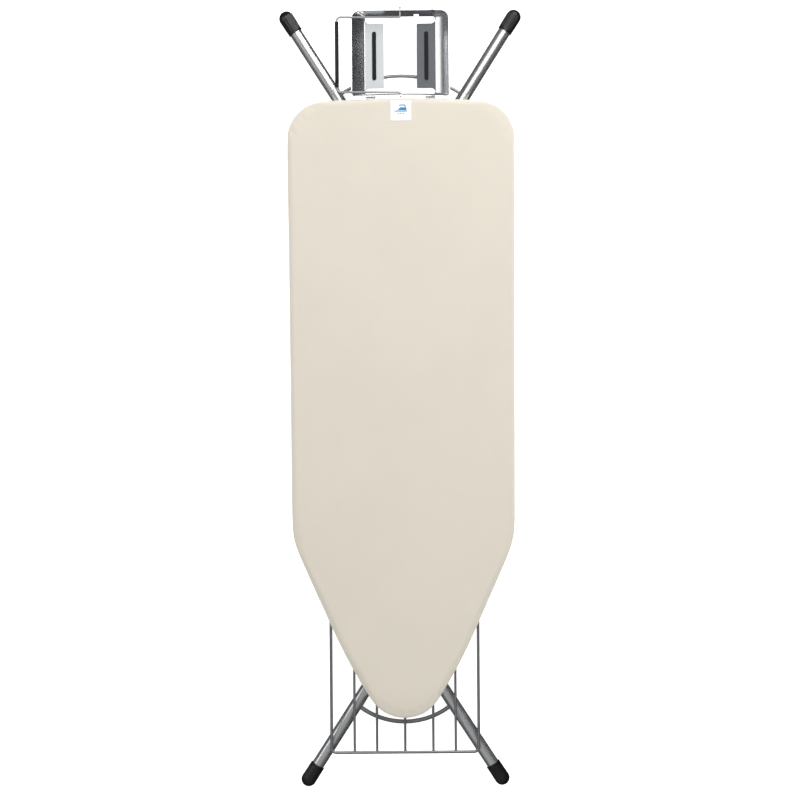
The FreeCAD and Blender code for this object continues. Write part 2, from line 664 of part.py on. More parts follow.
def make_rest_bolts():
    y = TAIL_Y - ARM_BOLT_FROM_TAIL
    head_top = STIFFENER_BOTTOM - ARM_THICKNESS
    tip = STIFFENER_BOTTOM + STIFFENER_WALL + ARM_NUT_THICKNESS + BOLT_PAST_NUT
    head = hexagon(vec(ARM_X, y, head_top - ARM_BOLT_HEAD), vec(0, 0, 1), ARM_ACROSS_FLATS, ARM_BOLT_HEAD)
    shank = bar(vec(ARM_X, y, head_top), vec(ARM_X, y, tip), ARM_BOLT_DIAMETER)
    return both_sides(head.fuse(shank))


def make_rest_nuts():
    y = TAIL_Y - ARM_BOLT_FROM_TAIL
    seat = STIFFENER_BOTTOM + STIFFENER_WALL
    nut = hexagon(vec(ARM_X, y, seat), vec(0, 0, 1), ARM_ACROSS_FLATS, ARM_NUT_THICKNESS)
    hole = bar(vec(ARM_X, y, seat), vec(ARM_X, y, seat + ARM_NUT_THICKNESS), ARM_BOLT_DIAMETER)
    return both_sides(nut.cut(hole))


# Bail ---------------------------------------------------------------------------------------

def bail_sleeve_z():
    """Height of the bail's grip, so that its arms just pass over the rest's side wall."""
    over_wall = REST_TOP + BAIL_WIRE / 2 + BAIL_OVER_WALL - bail_pivot_z()
    return bail_pivot_z() + over_wall * BAIL_REACH / REST_HALF_WIDTH


def make_bail_wire():
    """A wire loop folded to the left, its ends turned out through the rest's walls."""
    far = REST_MIDDLE_Y + BAIL_ARM_SPREAD / 2
    near = REST_MIDDLE_Y - BAIL_ARM_SPREAD / 2
    pivot_z = bail_pivot_z()
    grip_z = bail_sleeve_z()
    points = [
        vec(0, REST_FAR_Y + BAIL_FAR_TIP, pivot_z),
        vec(0, far, pivot_z),
        vec(-BAIL_REACH, far, grip_z),
        vec(-BAIL_REACH, near, grip_z),
        vec(0, near, pivot_z),
        vec(0, TAIL_Y + BAIL_NEAR_TIP, pivot_z),
    ]
    radii = [BAIL_END_RADIUS, BAIL_CORNER_RADIUS, BAIL_CORNER_RADIUS, BAIL_END_RADIUS]
    return rod(points, radii, BAIL_WIRE)


def make_bail_sleeve():
    start = vec(-BAIL_REACH, REST_MIDDLE_Y - SLEEVE_LENGTH / 2, bail_sleeve_z())
    end = vec(-BAIL_REACH, REST_MIDDLE_Y + SLEEVE_LENGTH / 2, bail_sleeve_z())
    return bar(start, end, SLEEVE_DIAMETER).cut(bar(start, end, BAIL_WIRE))


# Legs ---------------------------------------------------------------------------------------

def leg_points(tube_x, foot_x, end_y, bend_y, foot_y):
    return [vec(tube_x, end_y, LEG_Z), vec(tube_x, bend_y, LEG_Z), vec(foot_x, foot_y, LEG_Z)]


def inner_leg_points():
    """From the pivot end at +Y to the middle of the foot's round end at -Y."""
    bend_y = -FOOT_Y + INNER_BEND_FROM_FOOT
    return leg_points(INNER_TUBE_X, INNER_FOOT_X, PIVOT_Y + TUBE_PAST_PIVOT, bend_y, -FOOT_Y)


def outer_leg_points():
    """From the slide end at -Y to the middle of the foot's round end at +Y."""
    bend_y = FOOT_Y - OUTER_BEND_FROM_FOOT
    return leg_points(OUTER_TUBE_X, OUTER_FOOT_X, SLIDE_Y - TUBE_PAST_PIVOT, bend_y, FOOT_Y)


def leg_envelope(points):
    """The tube as a solid bar, for cutting what is welded to it."""
    return rod(points, [LEG_BEND_RADIUS], TUBE_DIAMETER)


def make_leg(points, bolt_fit):
    """A bent tube with a cross hole for the scissor bolt."""
    bore = rod(points, [LEG_BEND_RADIUS], TUBE_DIAMETER - 2 * TUBE_WALL)
    x = points[0].x
    hole = cross_bar(x - TUBE_DIAMETER, x + TUBE_DIAMETER, 0, LEG_Z, SCISSOR_BOLT_DIAMETER + 2 * bolt_fit)
    return leg_envelope(points).cut(bore).cut(hole)


def make_foot(points):
    """A moulded cap with a round end, pushed over the tube."""
    outwards = (points[2] - points[1]).normalize()
    middle = points[2]
    mouth = middle - outwards * FOOT_SOCKET
    skin = bar(mouth, middle, 2 * FOOT_RADIUS).fuse(Part.makeSphere(FOOT_RADIUS, middle))
    return skin.cut(bar(mouth, middle, TUBE_DIAMETER)).removeSplitter()


def make_plugs(points):
    """Plastic plugs in both tubes' upper ends."""
    outwards = (points[0] - points[1]).normalize()
    end = points[0]
    stem = bar(end - outwards * PLUG_DEPTH, end, TUBE_DIAMETER - 2 * TUBE_WALL)
    head = bar(end, end + outwards * PLUG_HEAD, TUBE_DIAMETER)
    return both_sides(stem.fuse(head).removeSplitter())


def make_arc(points, from_foot, radius, diameter):
    """A curved tie between the two tubes near their feet, bowed towards the feet."""
    towards_foot = math.copysign(1, points[2].y)
    crown = vec(0, points[2].y - towards_foot * from_foot, LEG_Z)
    half_angle = math.radians(ARC_HALF_ANGLE)
    end_x = radius * math.sin(half_angle)
    end_y = crown.y - towards_foot * radius * (1 - math.cos(half_angle))
    curve = Part.Arc(vec(-end_x, end_y, LEG_Z), crown, vec(end_x, end_y, LEG_Z)).toShape()
    start = curve.valueAt(curve.FirstParameter)
    section = Part.Circle(start, curve.tangentAt(curve.FirstParameter), diameter / 2)
    hoop = Part.Wire(curve).makePipeShell([Part.Wire(section.toShape())], True, True)
    pieces = hoop.cut(both_sides(leg_envelope(points))).Solids
    return min(pieces, key=lambda piece: abs(piece.CenterOfMass.x))


def leg_side_of_plate(plate_x, tube_x, y):
    """The space between a plate's far face and the tube's middle, for the weld."""
    plate_end = plate_x + PLATE_THICKNESS
    reach = PLATE_HALF_BASE
    x_from = min(plate_x, tube_x)
    x_to = max(plate_end, tube_x)
    return box(x_from, x_to, y - reach, y + reach, 0, PIVOT_Z)


def make_riser_plate(plate_x, tube_x, y, hole_diameter, points):
    """A plate that rises from the tube to a pivot above it."""
    base_bottom = LEG_Z - PLATE_HALF_HEIGHT
    base_top = LEG_Z + PLATE_HALF_HEIGHT
    outline = [
        (y - PLATE_HALF_BASE, base_bottom),
        (y + PLATE_HALF_BASE, base_bottom),
        (y + PLATE_HALF_BASE, base_top),
        (y + LOBE_RADIUS, PIVOT_Z),
        (y - LOBE_RADIUS, PIVOT_Z),
        (y - PLATE_HALF_BASE, base_top),
    ]
    plate_end = plate_x + PLATE_THICKNESS
    plate = prism_x(outline, plate_x, plate_end)
    plate = plate.fuse(cross_bar(plate_x, plate_end, y, PIVOT_Z, 2 * LOBE_RADIUS))
    half = PLATE_HALF_BASE - WELD_WIDTH
    weld = box(plate_x - WELD_WIDTH, plate_end + WELD_WIDTH, y - half, y + half, base_bottom, base_top)
    weld = weld.common(leg_side_of_plate(plate_x, tube_x, y))
    plate = plate.fuse(weld).cut(leg_envelope(points))
    return plate.cut(cross_bar(plate_x, plate_end, y, PIVOT_Z, hole_diameter)).removeSplitter()


def make_pivot_plate():
    return make_riser_plate(PIVOT_PLATE_X, INNER_TUBE_X, PIVOT_Y, AXLE_DIAMETER, inner_leg_points())


def make_slide_plate():
    return make_riser_plate(SLIDE_PLATE_X, OUTER_TUBE_X, SLIDE_Y, CROSSBAR_DIAMETER, outer_leg_points())


def make_pivot_axle():
    """A pin through both pivot plates, headed outside the bracket's ears."""
    ear_outside = EAR_X + PLATE_THICKNESS + LOOSE
    pin = cross_bar(-ear_outside, ear_outside, PIVOT_Y, PIVOT_Z, AXLE_DIAMETER)
    head_diameter = 2 * (BRACKET_FLANGE_Z - PIVOT_Z - 2 * LOOSE)
    head = cross_bar(ear_outside, ear_outside + AXLE_HEAD_THICKNESS, PIVOT_Y, PIVOT_Z, head_diameter)
    return pin.fuse(head).fuse(mirrored(head)).removeSplitter()


def make_slide_crossbar():
    end = SHOE_X + SHOE_WIDTH - 2 * LOOSE
    return cross_bar(-end, end, SLIDE_Y, PIVOT_Z, CROSSBAR_DIAMETER)


SCISSOR_NUT_X = INNER_TUBE_X - TUBE_RADIUS - LOOSE
SCISSOR_HEAD_X = OUTER_TUBE_X + TUBE_RADIUS


def make_scissor_bolts():
    """Bolts held by the outer tubes, on which the inner tubes turn."""
    tip_x = SCISSOR_NUT_X - SCISSOR_NUT_THICKNESS - BOLT_PAST_NUT
    shank = cross_bar(tip_x, SCISSOR_HEAD_X, 0, LEG_Z, SCISSOR_BOLT_DIAMETER)
    head = hexagon(vec(SCISSOR_HEAD_X, 0, LEG_Z), vec(1, 0, 0), SCISSOR_ACROSS_FLATS, SCISSOR_HEAD_THICKNESS)
    return both_sides(shank.fuse(head))


def make_scissor_nuts():
    start = SCISSOR_NUT_X - SCISSOR_NUT_THICKNESS
    nut = hexagon(vec(start, 0, LEG_Z), vec(1, 0, 0), SCISSOR_ACROSS_FLATS, SCISSOR_NUT_THICKNESS)
    return both_sides(nut.cut(cross_bar(start, SCISSOR_NUT_X, 0, LEG_Z, SCISSOR_BOLT_DIAMETER)))


def make_scissor_washers():
    start = INNER_TUBE_X + TUBE_RADIUS + LOOSE
    end = OUTER_TUBE_X - TUBE_RADIUS
    washer = cross_bar(start, end, 0, LEG_Z, WASHER_DIAMETER)
    return both_sides(washer.cut(cross_bar(start, end, 0, LEG_Z, SCISSOR_BOLT_DIAMETER)))


# Slide carriage and release lever -----------------------------------------------------------

def make_slide_shoe():
    """A nylon block in the rail, on the crossbar's end."""
    half_length = SHOE_LENGTH / 2
    half_height = SHOE_HEIGHT / 2
    block = box(SHOE_X, SHOE_X + SHOE_WIDTH, SLIDE_Y - half_length, SLIDE_Y + half_length,
                PIVOT_Z - half_height, PIVOT_Z + half_height)
    bore = CROSSBAR_DIAMETER + 2 * RUNNING
    return block.cut(cross_bar(SHOE_X, SHOE_X + SHOE_WIDTH, SLIDE_Y, PIVOT_Z, bore))


def make_carriage_yoke():
    """Two plates hung on the crossbar, joined by a web, that carry the lever shaft."""
    far_x = YOKE_X + YOKE_PLATE
    lever_lobe = LEVER_SHAFT_DIAMETER / 2 + YOKE_LOBE_WALL
    web_bottom = PIVOT_Z + YOKE_WEB_ABOVE_PIVOT
    outline = [
        (SLIDE_Y - LOBE_RADIUS, PIVOT_Z),
        (LEVER_Y - lever_lobe, LEVER_Z),
        (LEVER_Y + lever_lobe, LEVER_Z),
        (LEVER_Y + lever_lobe, web_bottom + YOKE_PLATE),
        (SLIDE_Y, web_bottom + YOKE_PLATE),
    ]
    plate = prism_x(outline, YOKE_X, far_x)
    plate = plate.fuse(cross_bar(YOKE_X, far_x, SLIDE_Y, PIVOT_Z, 2 * LOBE_RADIUS))
    plate = plate.fuse(cross_bar(YOKE_X, far_x, LEVER_Y, LEVER_Z, 2 * lever_lobe))
    web_start = SLIDE_Y + CROSSBAR_DIAMETER / 2 + YOKE_WEB_TO_CROSSBAR
    web = box(-YOKE_X, YOKE_X, web_start, LEVER_Y + lever_lobe, web_bottom, web_bottom + YOKE_PLATE)
    yoke = plate.fuse(mirrored(plate)).fuse(web)
    yoke = yoke.cut(cross_bar(-far_x, far_x, SLIDE_Y, PIVOT_Z, CROSSBAR_DIAMETER + 2 * RUNNING))
    return yoke.cut(cross_bar(-far_x, far_x, LEVER_Y, LEVER_Z, LEVER_SHAFT_DIAMETER + 2 * RUNNING))


def make_lever_shaft():
    left = -(PAWL_X + PAWL_WIDTH + SHAFT_PAST_PAWL)
    right = GRIP_X + GRIP_WIDTH - GRIP_END_WALL
    return cross_bar(left, right, LEVER_Y, LEVER_Z, LEVER_SHAFT_DIAMETER)


def make_lever_pawl():
    """A hub on the shaft with an arm that ends in a tooth under the comb."""
    far_x = PAWL_X + PAWL_WIDTH
    half_tooth = PAWL_TOOTH / 2
    hub_radius = PAWL_HUB_DIAMETER / 2
    outline = [
        (LEVER_Y, LEVER_Z + hub_radius - PAWL_EDGE),
        (SLIDE_Y + half_tooth + PAWL_TOOTH_FLARE, LEVER_Z + PAWL_NECK_ABOVE_SHAFT),
        (SLIDE_Y + half_tooth, TOOTH_TOP),
        (SLIDE_Y - half_tooth, TOOTH_TOP),
        (SLIDE_Y - half_tooth - PAWL_EDGE, LEVER_Z - PAWL_HEEL_BELOW_SHAFT),
        (LEVER_Y, LEVER_Z - hub_radius + PAWL_EDGE),
    ]
    pawl = prism_x(outline, PAWL_X, far_x)
    pawl = pawl.fuse(cross_bar(PAWL_X, far_x, LEVER_Y, LEVER_Z, PAWL_HUB_DIAMETER))
    return pawl.cut(cross_bar(PAWL_X, far_x, LEVER_Y, LEVER_Z, LEVER_SHAFT_DIAMETER))


def make_lever_grip():
    """A moulded paddle on the shaft's right-hand end."""
    far_x = GRIP_X + GRIP_WIDTH
    hub = cross_bar(GRIP_X, far_x, LEVER_Y, LEVER_Z, GRIP_HUB_DIAMETER)
    bottom = LEVER_Z - GRIP_THICKNESS / 2 + GRIP_ABOVE_SHAFT
    end_y = LEVER_Y + GRIP_REACH
    radius = GRIP_CORNER_RADIUS
    corners = [(GRIP_X, LEVER_Y, 0), (GRIP_X, end_y, radius), (far_x, end_y, radius), (far_x, LEVER_Y, 0)]
    paddle = flat_plate(corners, bottom, bottom + GRIP_THICKNESS)
    socket = cross_bar(GRIP_X, far_x - GRIP_END_WALL, LEVER_Y, LEVER_Z, LEVER_SHAFT_DIAMETER)
    return hub.fuse(paddle).cut(socket)


# Linen rack ---------------------------------------------------------------------------------

def make_rack_rod():
    end = RACK_HALF_WIDTH + HINGE_ROD_OVERHANG
    return cross_bar(-end, end, RACK_HINGE_Y, HINGE_ROD_Z, HINGE_ROD_DIAMETER)


def make_prop_rod():
    end = PROP_HALF_WIDTH + HINGE_ROD_OVERHANG
    return cross_bar(-end, end, PROP_ROD_Y, HINGE_ROD_Z, HINGE_ROD_DIAMETER)


def eyelet(x, y):
    half = EYELET_WIDTH / 2
    return cross_bar(x - half, x + half, y, HINGE_ROD_Z, 2 * EYELET_RADIUS)


def bent_u(half_width, hinge_y, end_y, z, diameter):
    """A wire from one hinge along the side, across the end and back."""
    points = [
        vec(half_width, hinge_y, z),
        vec(half_width, end_y, z),
        vec(-half_width, end_y, z),
        vec(-half_width, hinge_y, z),
    ]
    return rod(points, [RACK_CORNER_RADIUS, RACK_CORNER_RADIUS], diameter)


def hinge_bore(half_width, hinge_y):
    end = half_width + EYELET_WIDTH
    return cross_bar(-end, end, hinge_y, HINGE_ROD_Z, 2 * EYELET_BORE_RADIUS)


def make_rack_grid():
    """Side wires and end bar in one bend, with straight wires between."""
    places = sorted({side * x for x in RACK_INNER_WIRES for side in (-1, 1)})
    grid = bent_u(RACK_HALF_WIDTH, RACK_HINGE_Y, RACK_END_Y, RACK_Z, RACK_SIDE_WIRE)
    for x in places:
        start = vec(x, RACK_HINGE_Y, RACK_Z)
        grid = grid.fuse(bar(start, vec(x, RACK_END_Y, RACK_Z), RACK_INNER_WIRE))
    for x in places + [-RACK_HALF_WIDTH, RACK_HALF_WIDTH]:
        grid = grid.fuse(eyelet(x, RACK_HINGE_Y))
    return grid.cut(hinge_bore(RACK_HALF_WIDTH, RACK_HINGE_Y))


def make_prop_wire():
    """A wire loop that holds the rack level, its end bar under the rack's wires."""
    prop = bent_u(PROP_HALF_WIDTH, PROP_ROD_Y, PROP_END_Y, HINGE_ROD_Z, PROP_WIRE)
    for x in (-PROP_HALF_WIDTH, PROP_HALF_WIDTH):
        prop = prop.fuse(eyelet(x, PROP_ROD_Y))
    return prop.cut(hinge_bore(PROP_HALF_WIDTH, PROP_ROD_Y))


# Whole object -------------------------------------------------------------------------------

def right_and_left(name, right_piece):
    return {name + "_right": right_piece, name + "_left": mirrored(right_piece)}


def board_nodes():
    nodes = {
        "deck_sheet": make_deck_sheet(),
        "deck_rim": make_deck_rim(),
        "foam_pad": make_foam_pad(),
        "cover": make_cover(),
        "hem_elastic": make_hem_elastic(),
        "cover_label": make_cover_label(),
        "rest_stiffener": make_rest_stiffener(),
        "pivot_stiffener": make_stiffener(PIVOT_Y - PIVOT_STIFFENER_FROM_PIVOT),
        "middle_stiffener": make_stiffener(RAIL_END + MIDDLE_STIFFENER_FROM_RAIL),
        "bracket_rivets": make_bracket_rivets(),
        "pivot_bushes": make_pivot_bushes(),
    }
    nodes.update(right_and_left("slide_rail", make_slide_rail()))
    nodes.update(right_and_left("notch_comb", make_notch_comb()))
    nodes.update(right_and_left("pivot_bracket", make_pivot_bracket()))
    return nodes


def rest_nodes():
    nodes = {
        "rest_frame": make_rest_frame(),
        "rest_bolts": make_rest_bolts(),
        "rest_nuts": make_rest_nuts(),
        "bail_wire": make_bail_wire(),
        "bail_sleeve": make_bail_sleeve(),
    }
    nodes.update(right_and_left("rest_strip", make_rest_strip()))
    nodes.update(right_and_left("rest_arm", make_rest_arm()))
    return nodes


def inner_leg_nodes():
    points = inner_leg_points()
    nodes = {
        "inner_arc": make_arc(points, INNER_ARC_FROM_FOOT, INNER_ARC_RADIUS, INNER_ARC_DIAMETER),
        "inner_tube_plugs": make_plugs(points),
        "pivot_axle": make_pivot_axle(),
        "rack_rod": make_rack_rod(),
        "prop_rod": make_prop_rod(),
    }
    nodes.update(right_and_left("inner_leg", make_leg(points, RUNNING)))
    nodes.update(right_and_left("inner_foot", make_foot(points)))
    nodes.update(right_and_left("pivot_plate", make_pivot_plate()))
    return nodes


def outer_leg_nodes():
    points = outer_leg_points()
    nodes = {
        "outer_arc": make_arc(points, OUTER_ARC_FROM_FOOT, OUTER_ARC_RADIUS, OUTER_ARC_DIAMETER),
        "outer_tube_plugs": make_plugs(points),
        "slide_crossbar": make_slide_crossbar(),
        "scissor_bolts": make_scissor_bolts(),
        "scissor_washers": make_scissor_washers(),
        "scissor_nuts": make_scissor_nuts(),
    }
    nodes.update(right_and_left("outer_leg", make_leg(points, 0)))
    nodes.update(right_and_left("outer_foot", make_foot(points)))
    nodes.update(right_and_left("slide_plate", make_slide_plate()))
    return nodes


def mechanism_nodes():
    nodes = {
        "carriage_yoke": make_carriage_yoke(),
        "lever_shaft": make_lever_shaft(),
        "lever_grip": make_lever_grip(),
        "rack_grid": make_rack_grid(),
        "prop_wire": make_prop_wire(),
    }
    nodes.update(right_and_left("slide_shoe", make_slide_shoe()))
    nodes.update(right_and_left("lever_pawl", make_lever_pawl()))
    return nodes


os.makedirs("parts", exist_ok=True)
for make_nodes in (board_nodes, rest_nodes, inner_leg_nodes, outer_leg_nodes, mechanism_nodes):
    for node, shape in make_nodes().items():
        shape.exportStep("parts/" + node + ".step")
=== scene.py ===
"""An ironing board, dressed: cloth, lacquer, chrome and moulded pieces around the fixed frame.

Everything is in metres, in the row frame: X across the board, +Y towards the square end with
the iron rest, +Z up from the floor that the folded board lies on.
"""

import logging
import math
import random
from dataclasses import dataclass, field
from enum import Enum
from typing import Callable, Iterable, Optional, Sequence, Union

import bmesh
import bpy
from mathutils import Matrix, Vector, geometry


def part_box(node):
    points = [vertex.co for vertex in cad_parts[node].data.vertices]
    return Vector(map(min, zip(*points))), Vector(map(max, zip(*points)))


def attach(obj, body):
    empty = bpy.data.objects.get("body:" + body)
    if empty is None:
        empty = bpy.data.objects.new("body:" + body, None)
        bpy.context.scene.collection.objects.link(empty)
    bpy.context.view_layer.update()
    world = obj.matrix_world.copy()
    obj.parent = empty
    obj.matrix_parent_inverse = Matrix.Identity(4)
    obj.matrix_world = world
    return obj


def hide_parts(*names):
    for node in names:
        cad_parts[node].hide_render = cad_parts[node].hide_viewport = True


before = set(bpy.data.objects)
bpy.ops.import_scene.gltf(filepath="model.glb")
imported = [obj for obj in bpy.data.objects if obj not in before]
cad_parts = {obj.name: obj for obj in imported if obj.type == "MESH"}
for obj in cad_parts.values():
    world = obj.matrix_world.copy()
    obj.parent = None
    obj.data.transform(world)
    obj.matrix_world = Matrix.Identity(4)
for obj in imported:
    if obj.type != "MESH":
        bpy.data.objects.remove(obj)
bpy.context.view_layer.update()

LOG = logging.getLogger("ironing_board")
MM = 0.001

Point = tuple[float, float]
Colour = tuple[float, float, float]


# Shader expressions ------------------------------------------------------------------------

class Link:
    """A shader socket that takes part in Python expressions; each operator adds a Math node."""

    def __init__(self, tree: "Tree", socket: bpy.types.NodeSocket) -> None:
        """Keep the socket and the tree that it is in."""
        self.tree = tree
        self.socket = socket

    def _math(self, operation: str, first: "Value", second: "Value" = 0.0) -> "Link":
        """Add a Math node on two values."""
        return self.tree.node("ShaderNodeMath", {"operation": operation}, {0: first, 1: second})

    def __add__(self, other: "Value") -> "Link":
        """Sum."""
        return self._math("ADD", self, other)

    def __radd__(self, other: "Value") -> "Link":
        """Sum with a number first."""
        return self._math("ADD", other, self)

    def __sub__(self, other: "Value") -> "Link":
        """Difference."""
        return self._math("SUBTRACT", self, other)

    def __rsub__(self, other: "Value") -> "Link":
        """Difference from a number."""
        return self._math("SUBTRACT", other, self)

    def __mul__(self, other: "Value") -> "Link":
        """Product."""
        return self._math("MULTIPLY", self, other)

    def __rmul__(self, other: "Value") -> "Link":
        """Product with a number first."""
        return self._math("MULTIPLY", other, self)

    def sine(self) -> "Link":
        """Sine of the value, in radians."""
        return self._math("SINE", self)

    def absolute(self) -> "Link":
        """The value without its sign."""
        return self._math("ABSOLUTE", self)

    def between(self, low: float, high: float) -> "Link":
        """A mask that runs smoothly from 0 at low to 1 at high.

        Args:
            low: Value where the mask starts.
            high: Value where the mask is full.

        Returns:
            The mask, from 0 to 1.
        """
        settings = {"interpolation_type": "SMOOTHSTEP"}
        inputs = {"Value": self, "From Min": low, "From Max": high}
        return self.tree.node("ShaderNodeMapRange", settings, inputs, "Result")


Value = Union[Link, float]


def set_stops(ramp: bpy.types.Node, stops: Sequence[tuple[float, Colour]]) -> None:
    """Give a colour ramp its stops."""
    elements = ramp.color_ramp.elements
    while len(elements) < len(stops):
        elements.new(0.5)
    for element, (place, colour) in zip(elements, stops):
        element.position = place
        element.color = (*colour, 1.0)


class Tree:
    """A node tree, with one method that adds any node."""

    def __init__(self, tree: bpy.types.NodeTree) -> None:
        """Keep the tree."""
        self.tree = tree

    def node(self, kind: str, settings: dict, inputs: dict,
             output: Union[int, str, None] = 0) -> Optional[Link]:
        """Add a node.

        Args:
            kind: The node's type.
            settings: Properties to set first, or "stops" for a colour ramp.
            inputs: Socket names or numbers, with a value or a Link for each.
            output: Name or number of the socket to hand back, or None where there is none.

        Returns:
            The chosen output.
        """
        made = self.tree.nodes.new(kind)
        for key, value in settings.items():
            if key == "stops":
                set_stops(made, value)
            else:
                setattr(made, key, value)
        for key, value in inputs.items():
            if isinstance(value, Link):
                self.tree.links.new(value.socket, made.inputs[key])
            else:
                made.inputs[key].default_value = value
        return None if output is None else Link(self, made.outputs[output])

    def split(self, vector: Link) -> tuple[Link, ...]:
        """X, Y and Z of a vector."""
        first = self.node("ShaderNodeSeparateXYZ", {}, {0: vector})
        return tuple(Link(self, socket) for socket in first.socket.node.outputs)


class Shader(Tree):
    """The node tree of one material, with a Principled surface."""

    def __init__(self, name: str) -> None:
        """Make a material of that name with an empty tree."""
        self.material = bpy.data.materials.new(name)
        self.material.use_nodes = True
        super().__init__(self.material.node_tree)
        self.tree.nodes.clear()

    def position(self) -> Link:
        """The place on the piece, in the row frame at rest."""
        return self.node("ShaderNodeTexCoord", {}, {}, "Object")

    def axes(self) -> tuple[Link, ...]:
        """X, Y and Z of the place on the piece, in metres."""
        return self.split(self.position())

    def stretched(self, scale: Sequence[float]) -> Link:
        """The place on the piece, scaled along each axis."""
        inputs = {0: self.position(), 1: tuple(scale)}
        return self.node("ShaderNodeVectorMath", {"operation": "MULTIPLY"}, inputs)

    def noise(self, scale: Union[float, Sequence[float]], detail: float = 3.0, rough: float = 0.5) -> Link:
        """Fractal noise.

        Args:
            scale: Cells per metre, the same all ways or one for each axis.
            detail: Octaves.
            rough: How strong the finer octaves are.

        Returns:
            A value around 0.5.
        """
        even = not isinstance(scale, Sequence)
        where = self.position() if even else self.stretched(scale)
        inputs = {"Vector": where, "Scale": scale if even else 1.0, "Detail": detail, "Roughness": rough}
        return self.node("ShaderNodeTexNoise", {}, inputs, 0)

    def grains(self, scale: float) -> Link:
        """A different value in each cell of a random mosaic."""
        made = self.node("ShaderNodeTexVoronoi", {}, {"Vector": self.position(), "Scale": scale}, "Color")
        return self.node("ShaderNodeSeparateColor", {}, {0: made}, 0)

    def mix(self, factor: Value, first: Union[Link, Colour], second: Union[Link, Colour]) -> Link:
        """A colour between two others."""
        ends = [value if isinstance(value, Link) else (*value, 1.0) for value in (first, second)]
        inputs = {0: factor, 6: ends[0], 7: ends[1]}
        return self.node("ShaderNodeMix", {"data_type": "RGBA"}, inputs, 2)

    def bump(self, height: Link, distance: float, strength: float = 1.0) -> Link:
        """A normal from a height.

        Args:
            height: Height from 0 to 1.
            distance: What a height of 1 stands for, in metres.
            strength: Share of the effect that shows.

        Returns:
            The normal.
        """
        inputs = {"Strength": strength, "Distance": distance, "Height": height}
        return self.node("ShaderNodeBump", {}, inputs)

    def principled(self, **sockets: Union[Link, Value, Colour]) -> bpy.types.Material:
        """Finish the material with a Principled surface.

        Args:
            **sockets: Values or links by socket name, with _ for a space.

        Returns:
            The material.
        """
        inputs = {key.replace("_", " "): (*value, 1.0) if isinstance(value, tuple) else value
                  for key, value in sockets.items()}
        surface = self.node("ShaderNodeBsdfPrincipled", {}, inputs)
        self.node("ShaderNodeOutputMaterial", {}, {0: surface}, None)
        return self.material


def srgb(red: int, green: int, blue: int) -> Colour:
    """A linear colour from display values up to 255."""
    def linear(value: float) -> float:
        """One channel."""
        return value / 12.92 if value <= 0.04045 else ((value + 0.055) / 1.055) ** 2.4
    return linear(red / 255), linear(green / 255), linear(blue / 255)


def shade(colour: Colour, factor: float) -> Colour:
    """A colour made darker or lighter by a factor."""
    return colour[0] * factor, colour[1] * factor, colour[2] * factor


# Finishes ----------------------------------------------------------------------------------

@dataclass(frozen=True)
class Finish:
    """What a piece is made of: a material of that name, with the name of its slot."""

    name: str
    slot: str
    colour: Colour

    def material(self) -> bpy.types.Material:
        """Make the material."""
        raise NotImplementedError


@dataclass(frozen=True)
class Cotton(Finish):
    """Plain woven cotton with slubs and a soft sheen."""

    thread: float = 0.55 * MM
    sheen: float = 0.25
    relief: float = 0.05 * MM

    def material(self) -> bpy.types.Material:
        """Make the cloth: crossing threads, thicker ones here and there, and slight mottling."""
        shader = Shader(self.name)
        x, y, z = shader.axes()
        turns = 2 * math.pi / self.thread
        wander = shader.noise(60.0, 2.0) * 0.9
        warp = ((x + z) * turns + wander).sine()
        weft = ((y + z) * turns + wander).sine()
        weave = warp * weft * 0.5 + 0.5
        slub_warp = shader.noise((900.0, 14.0, 900.0), 2.0)
        slub_weft = shader.noise((14.0, 900.0, 900.0), 2.0)
        slubs = slub_warp.between(0.55, 0.8) + slub_weft.between(0.55, 0.8)
        mottle = shader.noise(9.0, 4.0).between(0.3, 0.7)
        base = shader.mix(mottle, shade(self.colour, 0.975), self.colour)
        threaded = shader.mix(weave * 0.35, base, shade(self.colour, 0.93))
        colour = shader.mix(slubs * 0.22, threaded, shade(self.colour, 1.05))
        height = weave * 0.7 + slubs * 0.5
        return shader.principled(
            Base_Color=colour, Roughness=0.86 - slubs * 0.06, Normal=shader.bump(height, self.relief),
            Sheen_Weight=self.sheen, Sheen_Roughness=0.45, Specular_IOR_Level=0.25)


@dataclass(frozen=True)
class Felt(Finish):
    """Needled felt: short fibres lying every way."""

    def material(self) -> bpy.types.Material:
        """Make the felt with fibre relief and darker flecks."""
        shader = Shader(self.name)
        fibres = shader.noise(1400.0, 5.0, 0.7)
        tufts = shader.noise(120.0, 3.0)
        flecks = shader.grains(700.0).between(0.86, 0.95)
        base = shader.mix(tufts.between(0.35, 0.65), shade(self.colour, 0.88), self.colour)
        colour = shader.mix(flecks * 0.35, base, shade(self.colour, 0.5))
        height = fibres * 0.7 + tufts * 0.6
        return shader.principled(
            Base_Color=colour, Roughness=0.95 - fibres * 0.06, Normal=shader.bump(height, 0.5 * MM),
            Sheen_Weight=0.3, Specular_IOR_Level=0.15)


@dataclass(frozen=True)
class Webbing(Finish):
    """Woven elastic: fine ribs across the band."""

    rib: float = 0.9 * MM

    def material(self) -> bpy.types.Material:
        """Make the band with ribs and a chalky surface."""
        shader = Shader(self.name)
        x, y, _ = shader.axes()
        ribs = ((x + y) * (2 * math.pi / self.rib)).sine() * 0.5 + 0.5
        fuzz = shader.noise(1800.0, 3.0)
        colour = shader.mix(ribs * 0.6, shade(self.colour, 0.8), self.colour)
        return shader.principled(
            Base_Color=colour, Roughness=0.8 + fuzz * 0.15,
            Normal=shader.bump(ribs * 0.8 + fuzz * 0.3, 0.15 * MM), Sheen_Weight=0.2)


